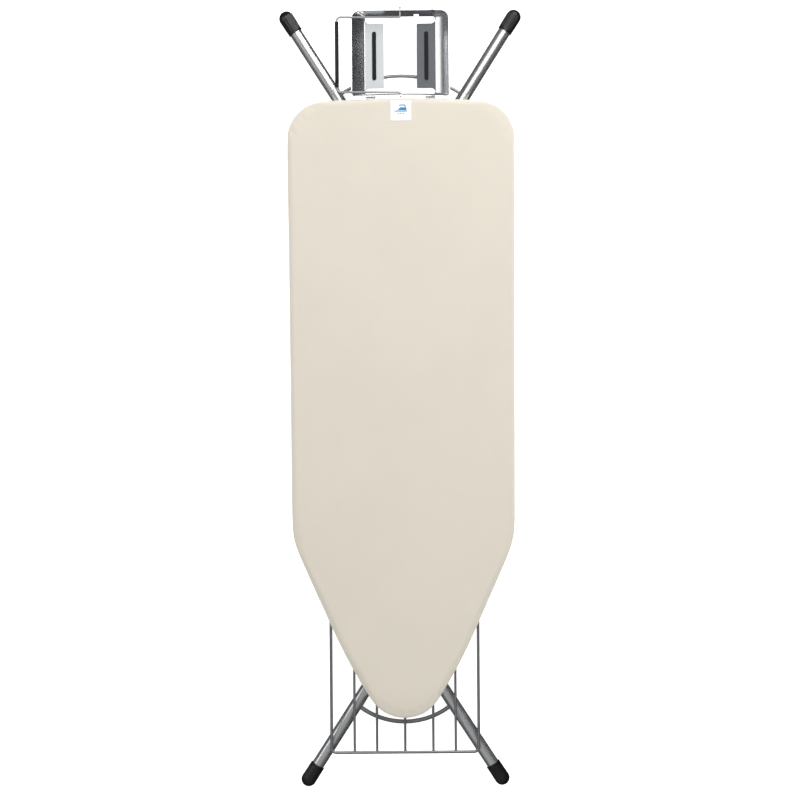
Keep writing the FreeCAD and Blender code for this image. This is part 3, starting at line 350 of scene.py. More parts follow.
@dataclass(frozen=True)
class Lacquer(Finish):
    """Metallic lacquer on drawn tube or wire, with fine flake and draw lines."""

    metal: float = 0.9
    rough: float = 0.3
    lines: Sequence[float] = (700.0, 9.0, 700.0)
    streak: float = 0.25

    def material(self) -> bpy.types.Material:
        """Make the lacquer: streaks along the metal, flake, scuffs and a thin clear coat."""
        shader = Shader(self.name)
        streaks = shader.noise(self.lines, 4.0, 0.6)
        flake = shader.grains(2600.0)
        scuffs = shader.noise(38.0, 6.0, 0.72).between(0.6, 0.72)
        lined = shader.mix(streaks.between(0.3, 0.7) * self.streak, self.colour, shade(self.colour, 0.6))
        colour = shader.mix(flake * 0.16, lined, shade(self.colour, 1.25))
        rough = self.rough + streaks * 0.1 + scuffs * 0.16
        height = streaks * 0.7 + flake * 0.3
        return shader.principled(
            Base_Color=colour, Metallic=self.metal, Roughness=rough, Coat_Weight=0.35 - scuffs * 0.2,
            Coat_Roughness=0.14, Normal=shader.bump(height, 0.02 * MM))


@dataclass(frozen=True)
class Polish(Finish):
    """Polished plate or wire with wipe marks and a little haze."""

    rough: float = 0.1
    haze: float = 0.12

    def material(self) -> bpy.types.Material:
        """Make the polish: long faint wipe lines, haze in patches and a wavy skin."""
        shader = Shader(self.name)
        wipes = shader.noise((30.0, 420.0, 420.0), 4.0, 0.6)
        patches = shader.noise(26.0, 4.0, 0.6).between(0.42, 0.7)
        pressing = shader.noise(16.0, 2.0)
        colour = shader.mix(patches * 0.35, self.colour, shade(self.colour, 0.86))
        rough = self.rough + patches * self.haze + wipes * 0.05
        height = pressing + wipes * 0.02
        return shader.principled(
            Base_Color=colour, Metallic=1.0, Roughness=rough, Normal=shader.bump(height, 0.25 * MM))


@dataclass(frozen=True)
class PressedRest(Finish):
    """Polished sheet for the iron rest: dished walls, satin plates that carry the iron with painted light
    and painted shade on them, and a painted highlight along the rim.
    """

    # The two plate colours are painted light (left plate) and painted shade (right plate) on one satin
    # finish, standing in for reflections.
    painted_lit_plate: Colour
    painted_shaded_plate: Colour
    plate_top: float
    rim_bottom: float
    wall_half: float
    rough: float = 0.2
    plate_rough: float = 0.5
    dish: float = 5.0 * MM

    def material(self) -> bpy.types.Material:
        """Make the sheet: satin plates with painted light on the left plate and painted shade on the right
        one, polished walls and a rim painted brighter as a painted highlight.
        """
        shader = Shader(self.name)
        x, _, z = shader.axes()
        wipes = shader.noise((420.0, 30.0, 420.0), 4.0, 0.6)
        patches = shader.noise(14.0, 3.0, 0.5).between(0.4, 0.7)
        inside = 1 - (x.absolute().between(self.wall_half - 1.5 * MM, self.wall_half - 0.5 * MM))
        plate = inside * (1 - z.between(self.plate_top, self.plate_top + 0.4 * MM))
        # The rim mask paints the top edge 15% brighter: a painted highlight.
        rim = z.between(self.rim_bottom, self.rim_bottom + 0.3 * MM)
        # Painted light and shade: the left plate gets the lit colour, the right plate the shaded colour.
        painted_plate_light_and_shade = shader.mix(x.between(-1.0 * MM, 1.0 * MM), self.painted_lit_plate, self.painted_shaded_plate)
        metal = shader.mix(patches * 0.25, self.colour, shade(self.colour, 0.86))
        metal_with_painted_rim_highlight = shader.mix(rim, metal, shade(self.colour, 1.15))
        colour = shader.mix(plate, metal_with_painted_rim_highlight, painted_plate_light_and_shade)
        rough = self.rough + patches * 0.05 + wipes * 0.02 + plate * (self.plate_rough - self.rough)
        depth = (z - self.plate_top) * (1 / (self.rim_bottom - self.plate_top)) - 0.5
        hollow = depth * depth * 4 * (1 - plate) * x.between(60 * MM, 70 * MM)
        height = hollow + wipes * 0.0005
        return shader.principled(
            Base_Color=colour, Metallic=1 - plate * 0.85, Roughness=rough,
            Normal=shader.bump(height, self.dish, 0.35))


@dataclass(frozen=True)
class Zinc(Finish):
    """Bright zinc plate with cloudy patches and a faint straw tint."""

    rough: float = 0.34

    def material(self) -> bpy.types.Material:
        """Make the plating: small crystals, clouds, and fine scratches along Y."""
        shader = Shader(self.name)
        crystals = shader.grains(420.0)
        clouds = shader.noise(34.0, 4.0, 0.6).between(0.35, 0.7)
        scratches = shader.noise((1500.0, 22.0, 1500.0), 2.0).between(0.62, 0.72)
        straw = (self.colour[0] * 1.03, self.colour[1] * 0.99, self.colour[2] * 0.86)
        tinted = shader.mix(clouds * 0.6, self.colour, straw)
        colour = shader.mix(crystals * 0.18, tinted, shade(self.colour, 0.72))
        rough = self.rough + clouds * 0.12 + scratches * 0.1
        return shader.principled(
            Base_Color=colour, Metallic=1.0, Roughness=rough,
            Normal=shader.bump(crystals * 0.4 + scratches, 0.02 * MM))


@dataclass(frozen=True)
class Powder(Finish):
    """Powder coat: an even colour with orange peel."""

    def material(self) -> bpy.types.Material:
        """Make the coat with peel, dust specks and a soft gloss."""
        shader = Shader(self.name)
        peel = shader.noise(900.0, 2.0)
        thin = shader.noise(20.0, 4.0).between(0.35, 0.7)
        specks = shader.grains(520.0).between(0.93, 0.97)
        base = shader.mix(thin * 0.4, self.colour, shade(self.colour, 0.9))
        colour = shader.mix(specks * 0.3, base, shade(self.colour, 0.6))
        return shader.principled(
            Base_Color=colour, Roughness=0.42 + peel * 0.16, Normal=shader.bump(peel, 0.06 * MM),
            Specular_IOR_Level=0.5)


@dataclass(frozen=True)
class Moulding(Finish):
    """Moulded plastic or rubber: fine spark texture, dusty highs and scuffs."""

    rough: float = 0.42
    grain: float = 1500.0
    relief: float = 0.05 * MM
    dust: float = 0.25
    gloss: float = 0.5

    def material(self) -> bpy.types.Material:
        """Make the plastic with its texture, a dusting and paler scuffs."""
        shader = Shader(self.name)
        texture = shader.noise(self.grain, 2.0, 0.6)
        dusting = shader.noise(70.0, 5.0, 0.65).between(0.5, 0.78)
        scuffs = shader.noise((260.0, 60.0, 260.0), 4.0, 0.7).between(0.66, 0.72)
        grey = (self.colour[0] + 0.06, self.colour[1] + 0.06, self.colour[2] + 0.058)
        dusty = shader.mix(dusting * self.dust, self.colour, grey)
        colour = shader.mix(scuffs * (self.dust + 0.05), dusty, grey)
        rough = self.rough + dusting * 0.14 + texture * 0.08 + scuffs * 0.1
        return shader.principled(
            Base_Color=colour, Roughness=rough, Normal=shader.bump(texture, self.relief),
            Specular_IOR_Level=self.gloss)


@dataclass(frozen=True)
class Ink(Finish):
    """Printing ink that sinks a little between the threads."""

    def material(self) -> bpy.types.Material:
        """Make the ink with thin spots and the cloth's grain."""
        shader = Shader(self.name)
        thin = shader.noise(2200.0, 3.0)
        colour = shader.mix(thin.between(0.55, 0.75) * 0.3, self.colour, (0.75, 0.85, 0.92))
        return shader.principled(
            Base_Color=colour, Roughness=0.6 + thin * 0.2, Normal=shader.bump(thin, 0.04 * MM))


@dataclass(frozen=True)
class Sweep:
    """A pale studio floor, bright enough to hide its far edge."""

    name: str
    colour: Colour = (0.93, 0.93, 0.93)
    glow: float = 0.78

    def material(self) -> bpy.types.Material:
        """Make the floor: matt, with a little light of its own and faint mottling."""
        shader = Shader(self.name)
        mottle = shader.noise(2.0, 3.0)
        colour = shader.mix(mottle, self.colour, shade(self.colour, 0.99))
        return shader.principled(
            Base_Color=colour, Roughness=0.9, Specular_IOR_Level=0.0,
            Emission_Color=(1.0, 1.0, 1.0), Emission_Strength=self.glow)


ECRU = Cotton("ecru_cotton", "cover_cotton", srgb(223, 216, 202))
SEAM_THREAD = Cotton("seam_thread", "cover_cotton", srgb(216, 209, 195), thread=0.3 * MM)
LABEL_WEAVE = Cotton("label_weave", "label_cloth", srgb(247, 247, 246), thread=0.35 * MM, sheen=0.1)
LABEL_INK = Ink("label_ink", "label_cloth", srgb(38, 140, 196))
PAD_FELT = Felt("pad_felt", "pad_foam", srgb(236, 235, 230))
ELASTIC = Webbing("hem_webbing", "hem_elastic", srgb(238, 236, 231))
DECK_COAT = Powder("deck_coat", "deck_steel", srgb(214, 216, 218))
SILVER = Lacquer("silver_lacquer", "tube_silver", (0.60, 0.61, 0.62), rough=0.2, streak=0.2)
DARK_WIRE = Lacquer(
    "dark_wire_lacquer", "wire_grey", (0.24, 0.25, 0.26), metal=0.75, rough=0.32, streak=0.15)
ZINC_PLATE = Zinc("zinc_plate", "bracket_zinc", (0.66, 0.67, 0.68))
ZINC_FASTENER = Zinc("zinc_fastener", "fastener_zinc", (0.70, 0.71, 0.73), rough=0.28)
# The rest's two plate colours are painted light and painted shade of one satin finish.
REST_SHEET = PressedRest(
    "rest_pressed_sheet", "rest_chrome", (0.72, 0.73, 0.75), painted_lit_plate=srgb(196, 199, 200),
    painted_shaded_plate=srgb(88, 91, 94), plate_top=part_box("rest_frame")[0].z + 2.2 * MM,
    rim_bottom=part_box("rest_frame")[1].z - 0.4 * MM, wall_half=72.0 * MM)
BAIL_POLISH = Polish("bail_polish", "bail_steel", (0.36, 0.37, 0.38), rough=0.26)
STRIP_RUBBER = Moulding(
    "strip_rubber", "rubber_black", (0.008, 0.009, 0.01), rough=0.6, relief=0.08 * MM, dust=0.08, gloss=0.2)
SLEEVE_RUBBER = Moulding(
    "sleeve_rubber", "sleeve_black", (0.007, 0.007, 0.008), rough=0.45, dust=0.08, gloss=0.3)
CAP_PLASTIC = Moulding("cap_plastic", "cap_black", (0.004, 0.004, 0.005), rough=0.14, dust=0.03)
GRIP_PLASTIC = Moulding("grip_plastic", "grip_black", (0.03, 0.03, 0.033), rough=0.45, grain=1100.0)
NYLON = Moulding("nylon", "nylon", (0.62, 0.62, 0.60), rough=0.4, dust=0.1)


# Mesh tools --------------------------------------------------------------------------------

def new_piece(name: str, bm: bmesh.types.BMesh, finish: Finish, body: str,
              smooth: bool = True) -> bpy.types.Object:
    """Turn a mesh into a piece of the object.

    Args:
        name: The piece's name.
        bm: Its mesh, which is used up.
        finish: What it is made of.
        body: The body it rides on.
        smooth: Whether its faces shade smoothly.

    Returns:
        The piece.
    """
    bmesh.ops.recalc_face_normals(bm, faces=bm.faces)
    mesh = bpy.data.meshes.new(name)
    bm.to_mesh(mesh)
    bm.free()
    for polygon in mesh.polygons:
        polygon.use_smooth = smooth
    piece = bpy.data.objects.new(name, mesh)
    bpy.context.scene.collection.objects.link(piece)
    mesh.materials.append(finish_material(finish))
    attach(piece, body)
    LOG.info("piece %s rides on %s, %d faces", name, body, len(mesh.polygons))
    return piece


_made: dict[str, bpy.types.Material] = {}


def finish_material(finish: Finish) -> bpy.types.Material:
    """The finish's material, made the first time it is asked for."""
    if finish.name not in _made:
        _made[finish.name] = finish.material()
    return _made[finish.name]


def thicken(piece: bpy.types.Object, thickness: float, offset: float = -1.0) -> None:
    """Give a sheet its thickness, all of it inwards (-1) or half each way (0)."""
    gauge = piece.modifiers.new("gauge", "SOLIDIFY")
    gauge.thickness = thickness
    gauge.offset = offset


def dress(nodes: Iterable[str], finish: Finish) -> None:
    """Give CAD nodes a finish.

    Args:
        nodes: Their names.
        finish: The finish for all of them.
    """
    for name in nodes:
        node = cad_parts[name]
        if not node.material_slots:
            node.data.materials.append(None)
        for slot in node.material_slots:
            slot.material = finish_material(finish)
        LOG.info("node %s gets %s", name, finish.name)


def both(name: str) -> list[str]:
    """The right and the left node of a pair."""
    return [name + "_right", name + "_left"]


def ring_mesh(bm: bmesh.types.BMesh, rings: Sequence[Sequence[Vector]], closed: bool = True,
              caps: bool = False) -> list[list[bmesh.types.BMVert]]:
    """Join rings of points into a skin.

    Args:
        bm: The mesh to add to.
        rings: Rings with the same number of points.
        closed: Whether each ring closes on itself.
        caps: Whether the first and last ring are filled.

    Returns:
        The vertices, ring by ring.
    """
    made = [[bm.verts.new(point) for point in ring] for ring in rings]
    count = len(rings[0])
    steps = count if closed else count - 1
    for inner, outer in zip(made, made[1:]):
        for index in range(steps):
            after = (index + 1) % count
            bm.faces.new((inner[index], inner[after], outer[after], outer[index]))
    if caps:
        bm.faces.new(made[0])
        bm.faces.new(made[-1])
    return made


def turned(bm: bmesh.types.BMesh, start: Vector, axis: Vector, profile: Sequence[tuple[float, float]],
           segments: int = 32, flute: Callable[[float, float], float] = lambda along, angle: 1.0) -> None:
    """Add a turned solid with its ends closed.

    Args:
        bm: The mesh to add to.
        start: Where the profile's zero is.
        axis: Unit direction that the profile runs along.
        profile: (distance along the axis, radius) from one end to the other.
        segments: Points round it.
        flute: Factor on the radius, from the distance along and the angle.
    """
    side = axis.orthogonal().normalized()
    other = axis.cross(side)
    rings = []
    for along, radius in profile:
        ring = []
        for index in range(segments):
            angle = 2 * math.pi * index / segments
            reach = radius * flute(along, angle)
            ring.append(start + axis * along + (side * math.cos(angle) + other * math.sin(angle)) * reach)
        rings.append(ring)
    ring_mesh(bm, rings, caps=True)


def stitch_row(bm: bmesh.types.BMesh, route: Sequence[Vector], lift: Vector, pitch: float,
               length: float, width: float) -> None:
    """Add a row of sewn stitches along a route.

    Args:
        bm: The mesh to add to.
        route: Points along the seam.
        lift: Unit direction that the stitches stand up in.
        pitch: From one stitch to the next.
        length: Length of a stitch.
        width: Thickness of the thread.
    """
    walked = 0.0
    due = pitch / 2
    for start, end in zip(route, route[1:]):
        run = (end - start).length
        while run > 0 and due <= walked + run:
            middle = start.lerp(end, (due - walked) / run)
            along = (end - start).normalized()
            half = along * (length / 2)
            across = lift.cross(along) * (width / 2)
            top = lift * (width * 0.45)
            rings = []
            for share, fat in ((-1.0, 0.25), (-0.7, 0.9), (0.0, 1.0), (0.7, 0.9), (1.0, 0.25)):
                centre = middle + half * share + top * (1 - share * share) - lift * (width * 0.1)
                rings.append([centre + across * fat, centre + top * fat, centre - across * fat,
                              centre - lift * (width * 0.3 * fat)])
            ring_mesh(bm, rings, caps=True)
            due += pitch
        walked += run


# The board's outline -----------------------------------------------------------------------

@dataclass
class Outline:
    """The board's outline as an even walk of points, read from the pad's own edge.

    The walk starts at the middle of the nose and goes round once, and each point has the
    direction that points away from the board.
    """

    node: str = "foam_pad"
    inset_of_node: float = 1.0 * MM
    step: float = 5.0 * MM
    points: list[Vector] = field(default_factory=list)
    outwards: list[Vector] = field(default_factory=list)

    def __post_init__(self) -> None:
        """Walk round the outermost points of the node."""
        flat = [Vector((v.co.x, v.co.y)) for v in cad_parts[self.node].data.vertices]
        hull = [flat[index] for index in geometry.convex_hull_2d(flat)]
        first = min(range(len(hull)), key=lambda index: (hull[index].y, abs(hull[index].x)))
        loop = hull[first:] + hull[:first]
        around = sum((b - a).length for a, b in zip(loop, loop[1:] + loop[:1]))
        count = 4 * round(around / self.step / 4)
        even = self._walk(loop + loop[:1], around / count, count)
        centre = sum(even, Vector((0.0, 0.0))) / count
        for index, point in enumerate(even):
            ahead = even[(index + 2) % count] - even[index - 2]
            away = Vector((ahead.y, -ahead.x)).normalized()
            self.outwards.append(-away if away.dot(point - centre) < 0 else away)
        self.points = [p + away * self.inset_of_node for p, away in zip(even, self.outwards)]

    @staticmethod
    def _walk(loop: Sequence[Vector], step: float, count: int) -> list[Vector]:
        """Points at even steps along a closed loop."""
        even = []
        walked = 0.0
        for start, end in zip(loop, loop[1:]):
            run = (end - start).length
            while run > 0 and len(even) < count and len(even) * step <= walked + run + 1e-9:
                even.append(start.lerp(end, (len(even) * step - walked) / run))
            walked += run
        return even

    def ring(self, inset: float, z: float) -> list[Vector]:
        """The outline set in by a distance, at a height.

        Args:
            inset: How far in from the cover's edge.
            z: Height.

        Returns:
            The points, in the order of the walk.
        """
        lift = Vector((0.0, 0.0, z))
        return [(p - away * inset).to_3d() + lift for p, away in zip(self.points, self.outwards)]

    def turning(self) -> list[float]:
        """How fast the outline turns at each point, in radians per metre, smoothed."""
        count = len(self.outwards)
        raw = []
        for index in range(count):
            turn = self.outwards[index - 3].angle(self.outwards[(index + 3) % count])
            raw.append(turn / (6 * self.step))
        return [sum(raw[(index + k) % count] for k in range(-6, 7)) / 13 for index in range(count)]

    def length(self) -> float:
        """Distance round the outline."""
        return sum((b - a).length for a, b in zip(self.points, self.points[1:] + self.points[:1]))

    def area(self) -> float:
        """Area inside the outline."""
        pairs = zip(self.points, self.points[1:] + self.points[:1])
        return abs(sum(a.x * b.y - b.x * a.y for a, b in pairs)) / 2


def fill_inside(bm: bmesh.types.BMesh, rim: Sequence[bmesh.types.BMVert], pitch: float, z: float) -> None:
    """Fill a flat rim with an even net of faces.

    Args:
        bm: The mesh that holds the rim.
        rim: Its vertices, in order.
        pitch: Size of the net.
        z: Height of the new points.
    """
    edge = [Vector((v.co.x, v.co.y)) for v in rim]
    centre = sum(edge, Vector((0.0, 0.0))) / len(edge)
    inner = [centre + (p - centre) * (1 - 0.75 * pitch / (p - centre).length) for p in edge]
    low = Vector((min(p.x for p in edge), min(p.y for p in edge)))
    high = Vector((max(p.x for p in edge), max(p.y for p in edge)))
    net = []
    rows = int((high.y - low.y) / pitch)
    columns = int((high.x - low.x) / pitch)
    for row in range(rows + 1):
        y = low.y + (high.y - low.y) * row / rows
        left, right = span_at(inner, y)
        for column in range(columns + 1):
            x = low.x + (high.x - low.x) * column / columns
            if left < x < right:
                net.append(Vector((x, y)))
    count = len(edge)
    borders = [(index, (index + 1) % count) for index in range(count)]
    points, _, faces, _, _, _ = geometry.delaunay_2d_cdt(edge + net, borders, [], 1, 1e-7)
    made = list(rim) + [bm.verts.new((p.x, p.y, z)) for p in points[count:]]
    bm.verts.index_update()
    fresh = [bm.faces.new([made[index] for index in face]) for face in faces]
    bmesh.ops.join_triangles(bm, faces=fresh, angle_face_threshold=0.1, angle_shape_threshold=0.9)


def span_at(polygon: Sequence[Vector], y: float) -> tuple[float, float]:
    """Where a line across at y enters and leaves a polygon that bulges everywhere."""
    crossings = []
    for a, b in zip(polygon, list(polygon[1:]) + [polygon[0]]):
        if (a.y > y) != (b.y > y):
            crossings.append(a.x + (b.x - a.x) * (y - a.y) / (b.y - a.y))
    return (min(crossings), max(crossings)) if crossings else (0.0, 0.0)


# Soft pieces -------------------------------------------------------------------------------

@dataclass
class Pad:
    """The felt and foam pad on the deck, under the cover."""

    outline: Outline
    inset: float = 1.5 * MM
    edge_radius: float = 4.0 * MM
    crown: float = 0.5 * MM
    crown_width: float = 30.0 * MM
    below_top: float = 0.1 * MM
    net: float = 9.0 * MM

    def build(self) -> bpy.types.Object:
        """Build the pad: flat below, soft edges, slightly crowned on top.

        Returns:
            The pad.
        """
        low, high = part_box("foam_pad")
        top = high.z - self.below_top - self.crown
        rings = [self.outline.ring(inset, low.z + lift) for inset, lift in (
            (self.crown_width, 0.0), (self.inset + 1.0 * MM, 0.0), (self.inset, 0.8 * MM))]
        for step in range(5):
            angle = math.pi / 2 * step / 4
            inset = self.inset + self.edge_radius * (1 - math.cos(angle))
            rings.append(self.outline.ring(inset, top - self.edge_radius * (1 - math.sin(angle))))
        for share in (0.4, 0.7, 1.0):
            rise = self.crown * math.sin(share * math.pi / 2)
            rings.append(self.outline.ring(self.edge_radius + self.crown_width * share, top + rise))
        bm = bmesh.new()
        made = ring_mesh(bm, rings)
        fill_inside(bm, made[-1], self.net, rings[-1][0].z)
        fill_inside(bm, made[0], self.net, low.z)
        pad = new_piece("pad_felt_and_foam", bm, PAD_FELT, "board")
        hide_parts("foam_pad")
        return pad


CLOTH_SETTINGS = {
    "quality": 4, "mass": 0.25, "tension_stiffness": 40, "compression_stiffness": 40,
    "shear_stiffness": 20, "bending_stiffness": 2.0, "vertex_group_mass": "held", "use_pressure": True}


@dataclass
class Cover:
    """The cotton cover: stretched over the pad and gathered under the rim by its elastic."""

    outline: Outline
    hem_width: float = 30.0 * MM
    side_inset: float = 0.5 * MM
    edge_radius: float = 5.5 * MM
    low_radius: float = 2.2 * MM
    sheet_thickness: float = 0.6 * MM
    crown: float = 0.7 * MM
    net: float = 6.0 * MM
    pleats: tuple[int, int, int] = (146, 183, 97)
    pleat_height: float = 0.28 * MM
    pleat_depth: float = 0.3 * MM
    pressure: float = 1.6
    sim_frames: int = 14
    most_swell: float = 1.3 * MM
    seam_inset: float = 22.5 * MM
    seam_ring: int = 7
    held_rings: int = 20
    seed: int = 7

    def __post_init__(self) -> None:
        """Read the cover's heights and draw the pleats."""
        self.low, self.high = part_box("cover")
        self.bottom = self.low.z + self.sheet_thickness / 2
        self.top = self.high.z - self.sheet_thickness / 2
        draw = random.Random(self.seed)
        count = len(self.outline.points)
        phases = [draw.uniform(0, 2 * math.pi) for _ in self.pleats]
        turning = self.outline.turning()
        self.wave = []
        for index in range(count):
            share = 2 * math.pi * index / count
            sway = 1.6 * math.sin(5 * share + phases[0]) + 1.1 * math.sin(13 * share + phases[1])
            value = sum(math.sin(n * share + phase + sway) for n, phase in zip(self.pleats, phases)) / 3
            fullness = 0.35 + min(1.0, turning[index] * 0.09)
            self.wave.append(value * fullness)

    def _ring(self, inset: float, z: float, height: float = 0.0, depth: float = 0.0) -> list[Vector]:
        """One ring of the cover, with its pleats up and down or in and out."""
        ring = []
        for point, away, wave in zip(self.outline.points, self.outline.outwards, self.wave):
            place = point - away * (inset + depth * (1 - wave))
            ring.append(Vector((place.x, place.y, z + height * (1 + wave))))
        return ring

    def _rings(self) -> list[list[Vector]]:
        """The rings from the hem's rolled edge, out round the rim and onto the top."""
        lift = self.pleat_height
        base = self.bottom
        hem = self.hem_width
        rolled = ((1.6, 1.5, 0.4), (0.5, 1.4, 0.5), (0.0, 0.8, 0.6), (0.5, 0.2, 0.7))
        rings = [self._ring(hem - back * MM, base + up * MM, lift * share) for back, up, share in rolled]
        for inset in (28.0, 26.0, 24.0):
            rings.append(self._ring(inset * MM, base, lift * 0.8))
        rings.append(self._ring(self.seam_inset, base - 0.1 * MM, lift * 0.5))
        for inset in (21.0, 18.0, 15.0, 12.0, 9.0, 6.5, 4.5):
            rings.append(self._ring(inset * MM, base, lift))
        for step in range(1, 5):
            angle = math.pi / 2 * step / 4
            inset = self.side_inset + self.low_radius * (1 - math.sin(angle))
            z = base + self.low_radius * (1 - math.cos(angle))
            rings.append(self._ring(inset, z, 0.0, self.pleat_depth))
        low = base + self.low_radius
        high = self.top - self.edge_radius
        for step in range(1, 6):
            share = step / 6
            depth = self.pleat_depth * (1 - share ** 2)
            rings.append(self._ring(self.side_inset, low + (high - low) * share, 0.0, depth))
        for step in range(0, 7):
            angle = math.pi / 2 * step / 6
            inset = self.side_inset + self.edge_radius * (1 - math.cos(angle))
            rings.append(self._ring(inset, high + self.edge_radius * math.sin(angle)))
        for inset in (9.0, 12.5, 17.0, 22.0, 28.0, 35.0):
            rings.append(self._ring(inset * MM, self.top))
        return rings

    def _stretch(self, bm: bmesh.types.BMesh, held: set[int]) -> None:
        """Let the cloth swell a little between its held edges, by simulation.

        Args:
            bm: The cover's mesh, whose points are moved.
            held: Indices of the points that the hem holds.
        """
        mesh = bpy.data.meshes.new("cloth_trial")
        bm.to_mesh(mesh)
        trial = bpy.data.objects.new("cloth_trial", mesh)
        bpy.context.scene.collection.objects.link(trial)
        group = trial.vertex_groups.new(name="held")
        group.add(sorted(held), 1.0, "REPLACE")
        cloth = trial.modifiers.new("cloth", "CLOTH")
        for key, value in CLOTH_SETTINGS.items():
            setattr(cloth.settings, key, value)
        cloth.settings.uniform_pressure_force = self.pressure
        cloth.settings.effector_weights.gravity = 0.0
        cloth.collision_settings.use_collision = False
        cloth.point_cache.frame_start = 1
        cloth.point_cache.frame_end = self.sim_frames
        for number in range(1, self.sim_frames + 1):
            bpy.context.scene.frame_set(number)
        posed = trial.evaluated_get(bpy.context.evaluated_depsgraph_get()).to_mesh()
        for vert, moved in zip(bm.verts, posed.vertices):
            push = moved.co - vert.co
            if push.length > self.most_swell:
                push = push.normalized() * self.most_swell
            vert.co += push
        trial.evaluated_get(bpy.context.evaluated_depsgraph_get()).to_mesh_clear()
        bpy.data.objects.remove(trial)
        bpy.data.meshes.remove(mesh)
        bpy.context.scene.frame_set(1)

    def build(self, pad: bpy.types.Object) -> bpy.types.Object:
        """Build the cover with its seam, elastic and declaration.

        Args:
            pad: The pad that it is stretched over; not used.

        Returns:
            The cover.
        """
        bm = bmesh.new()
        made = ring_mesh(bm, self._rings())
        fill_inside(bm, made[-1], self.net, self.top)
        for vert in bm.verts:
            vert.co.z += self._rise(vert.co)
        bm.verts.index_update()
        bmesh.ops.recalc_face_normals(bm, faces=bm.faces)
        self._stretch(bm, {vert.index for ring in made[:self.held_rings] for vert in ring})
        seam = [vert.co.copy() for vert in made[self.seam_ring]]
        cover = new_piece("cover_cotton_sheet", bm, ECRU, "board")
        thicken(cover, self.sheet_thickness, 0.0)
        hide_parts("cover")
        self._declare([self._seam(seam), self._elastic()])
        return cover

    def _rise(self, place: Vector) -> float:
        """Crown of the top at a place, nothing on the sides."""
        if place.z < self.top - 0.01 * MM:
            return 0.0
        across = 1 - abs(place.x) / (self.high.x - self.low.x) * 2
        along = min(place.y - self.low.y, self.high.y - place.y)
        reach = min(1.0, max(0.0, across) * 3.0, max(0.0, along) / (60 * MM))
        return self.crown * math.sin(reach * math.pi / 2) ** 2

    def _seam(self, route: Sequence[Vector]) -> bpy.types.Object:
        """The hem's stitching, seen from below."""
        below = Vector((0, 0, -1))
        lowered = [point + below * (self.sheet_thickness / 2) for point in route]
        bm = bmesh.new()
        stitch_row(bm, lowered + lowered[:1], below, 4.2 * MM, 3.2 * MM, 0.5 * MM)
        return new_piece("hem_stitches", bm, SEAM_THREAD, "board")

    def _elastic(self) -> bpy.types.Object:
        """The elastic band inside the hem."""
        low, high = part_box("hem_elastic")
        inner = self.hem_width - 0.6 * MM
        outer = inner - 4.4 * MM
        bottom = self.bottom + 1.0 * MM
        top = bottom + (high.z - low.z)
        soft = 0.3 * MM
        corners = [(inner - soft, bottom), (inner, bottom + soft), (inner, top - soft), (inner - soft, top),
                   (outer + soft, top), (outer, top - soft), (outer, bottom + soft), (outer + soft, bottom)]
        rings = [self._ring(inset, z, 0.15 * MM) for inset, z in corners]
        bm = bmesh.new()
        ring_mesh(bm, rings + rings[:1])
        bmesh.ops.remove_doubles(bm, verts=bm.verts, dist=0.01 * MM)
        band = new_piece("hem_elastic_band", bm, ELASTIC, "board")
        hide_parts("hem_elastic")
        return band

    def _declare(self,
                 pieces: list[bpy.types.Object]) -> None:
        """State the cloth's flat cut: the outline plus what goes down the side and under.

        Args:
            pieces: The separate pieces on it; not used.
        """
        turn = self.hem_width + (self.top - self.bottom)
        width = self.high.x - self.low.x + 2 * turn
        length = self.high.y - self.low.y + 2 * turn
        area = self.outline.area() + self.outline.length() * turn + math.pi * turn ** 2
        LOG.info("cover is cut %.0f by %.0f mm, %.3f square metres", width / MM, length / MM, area)


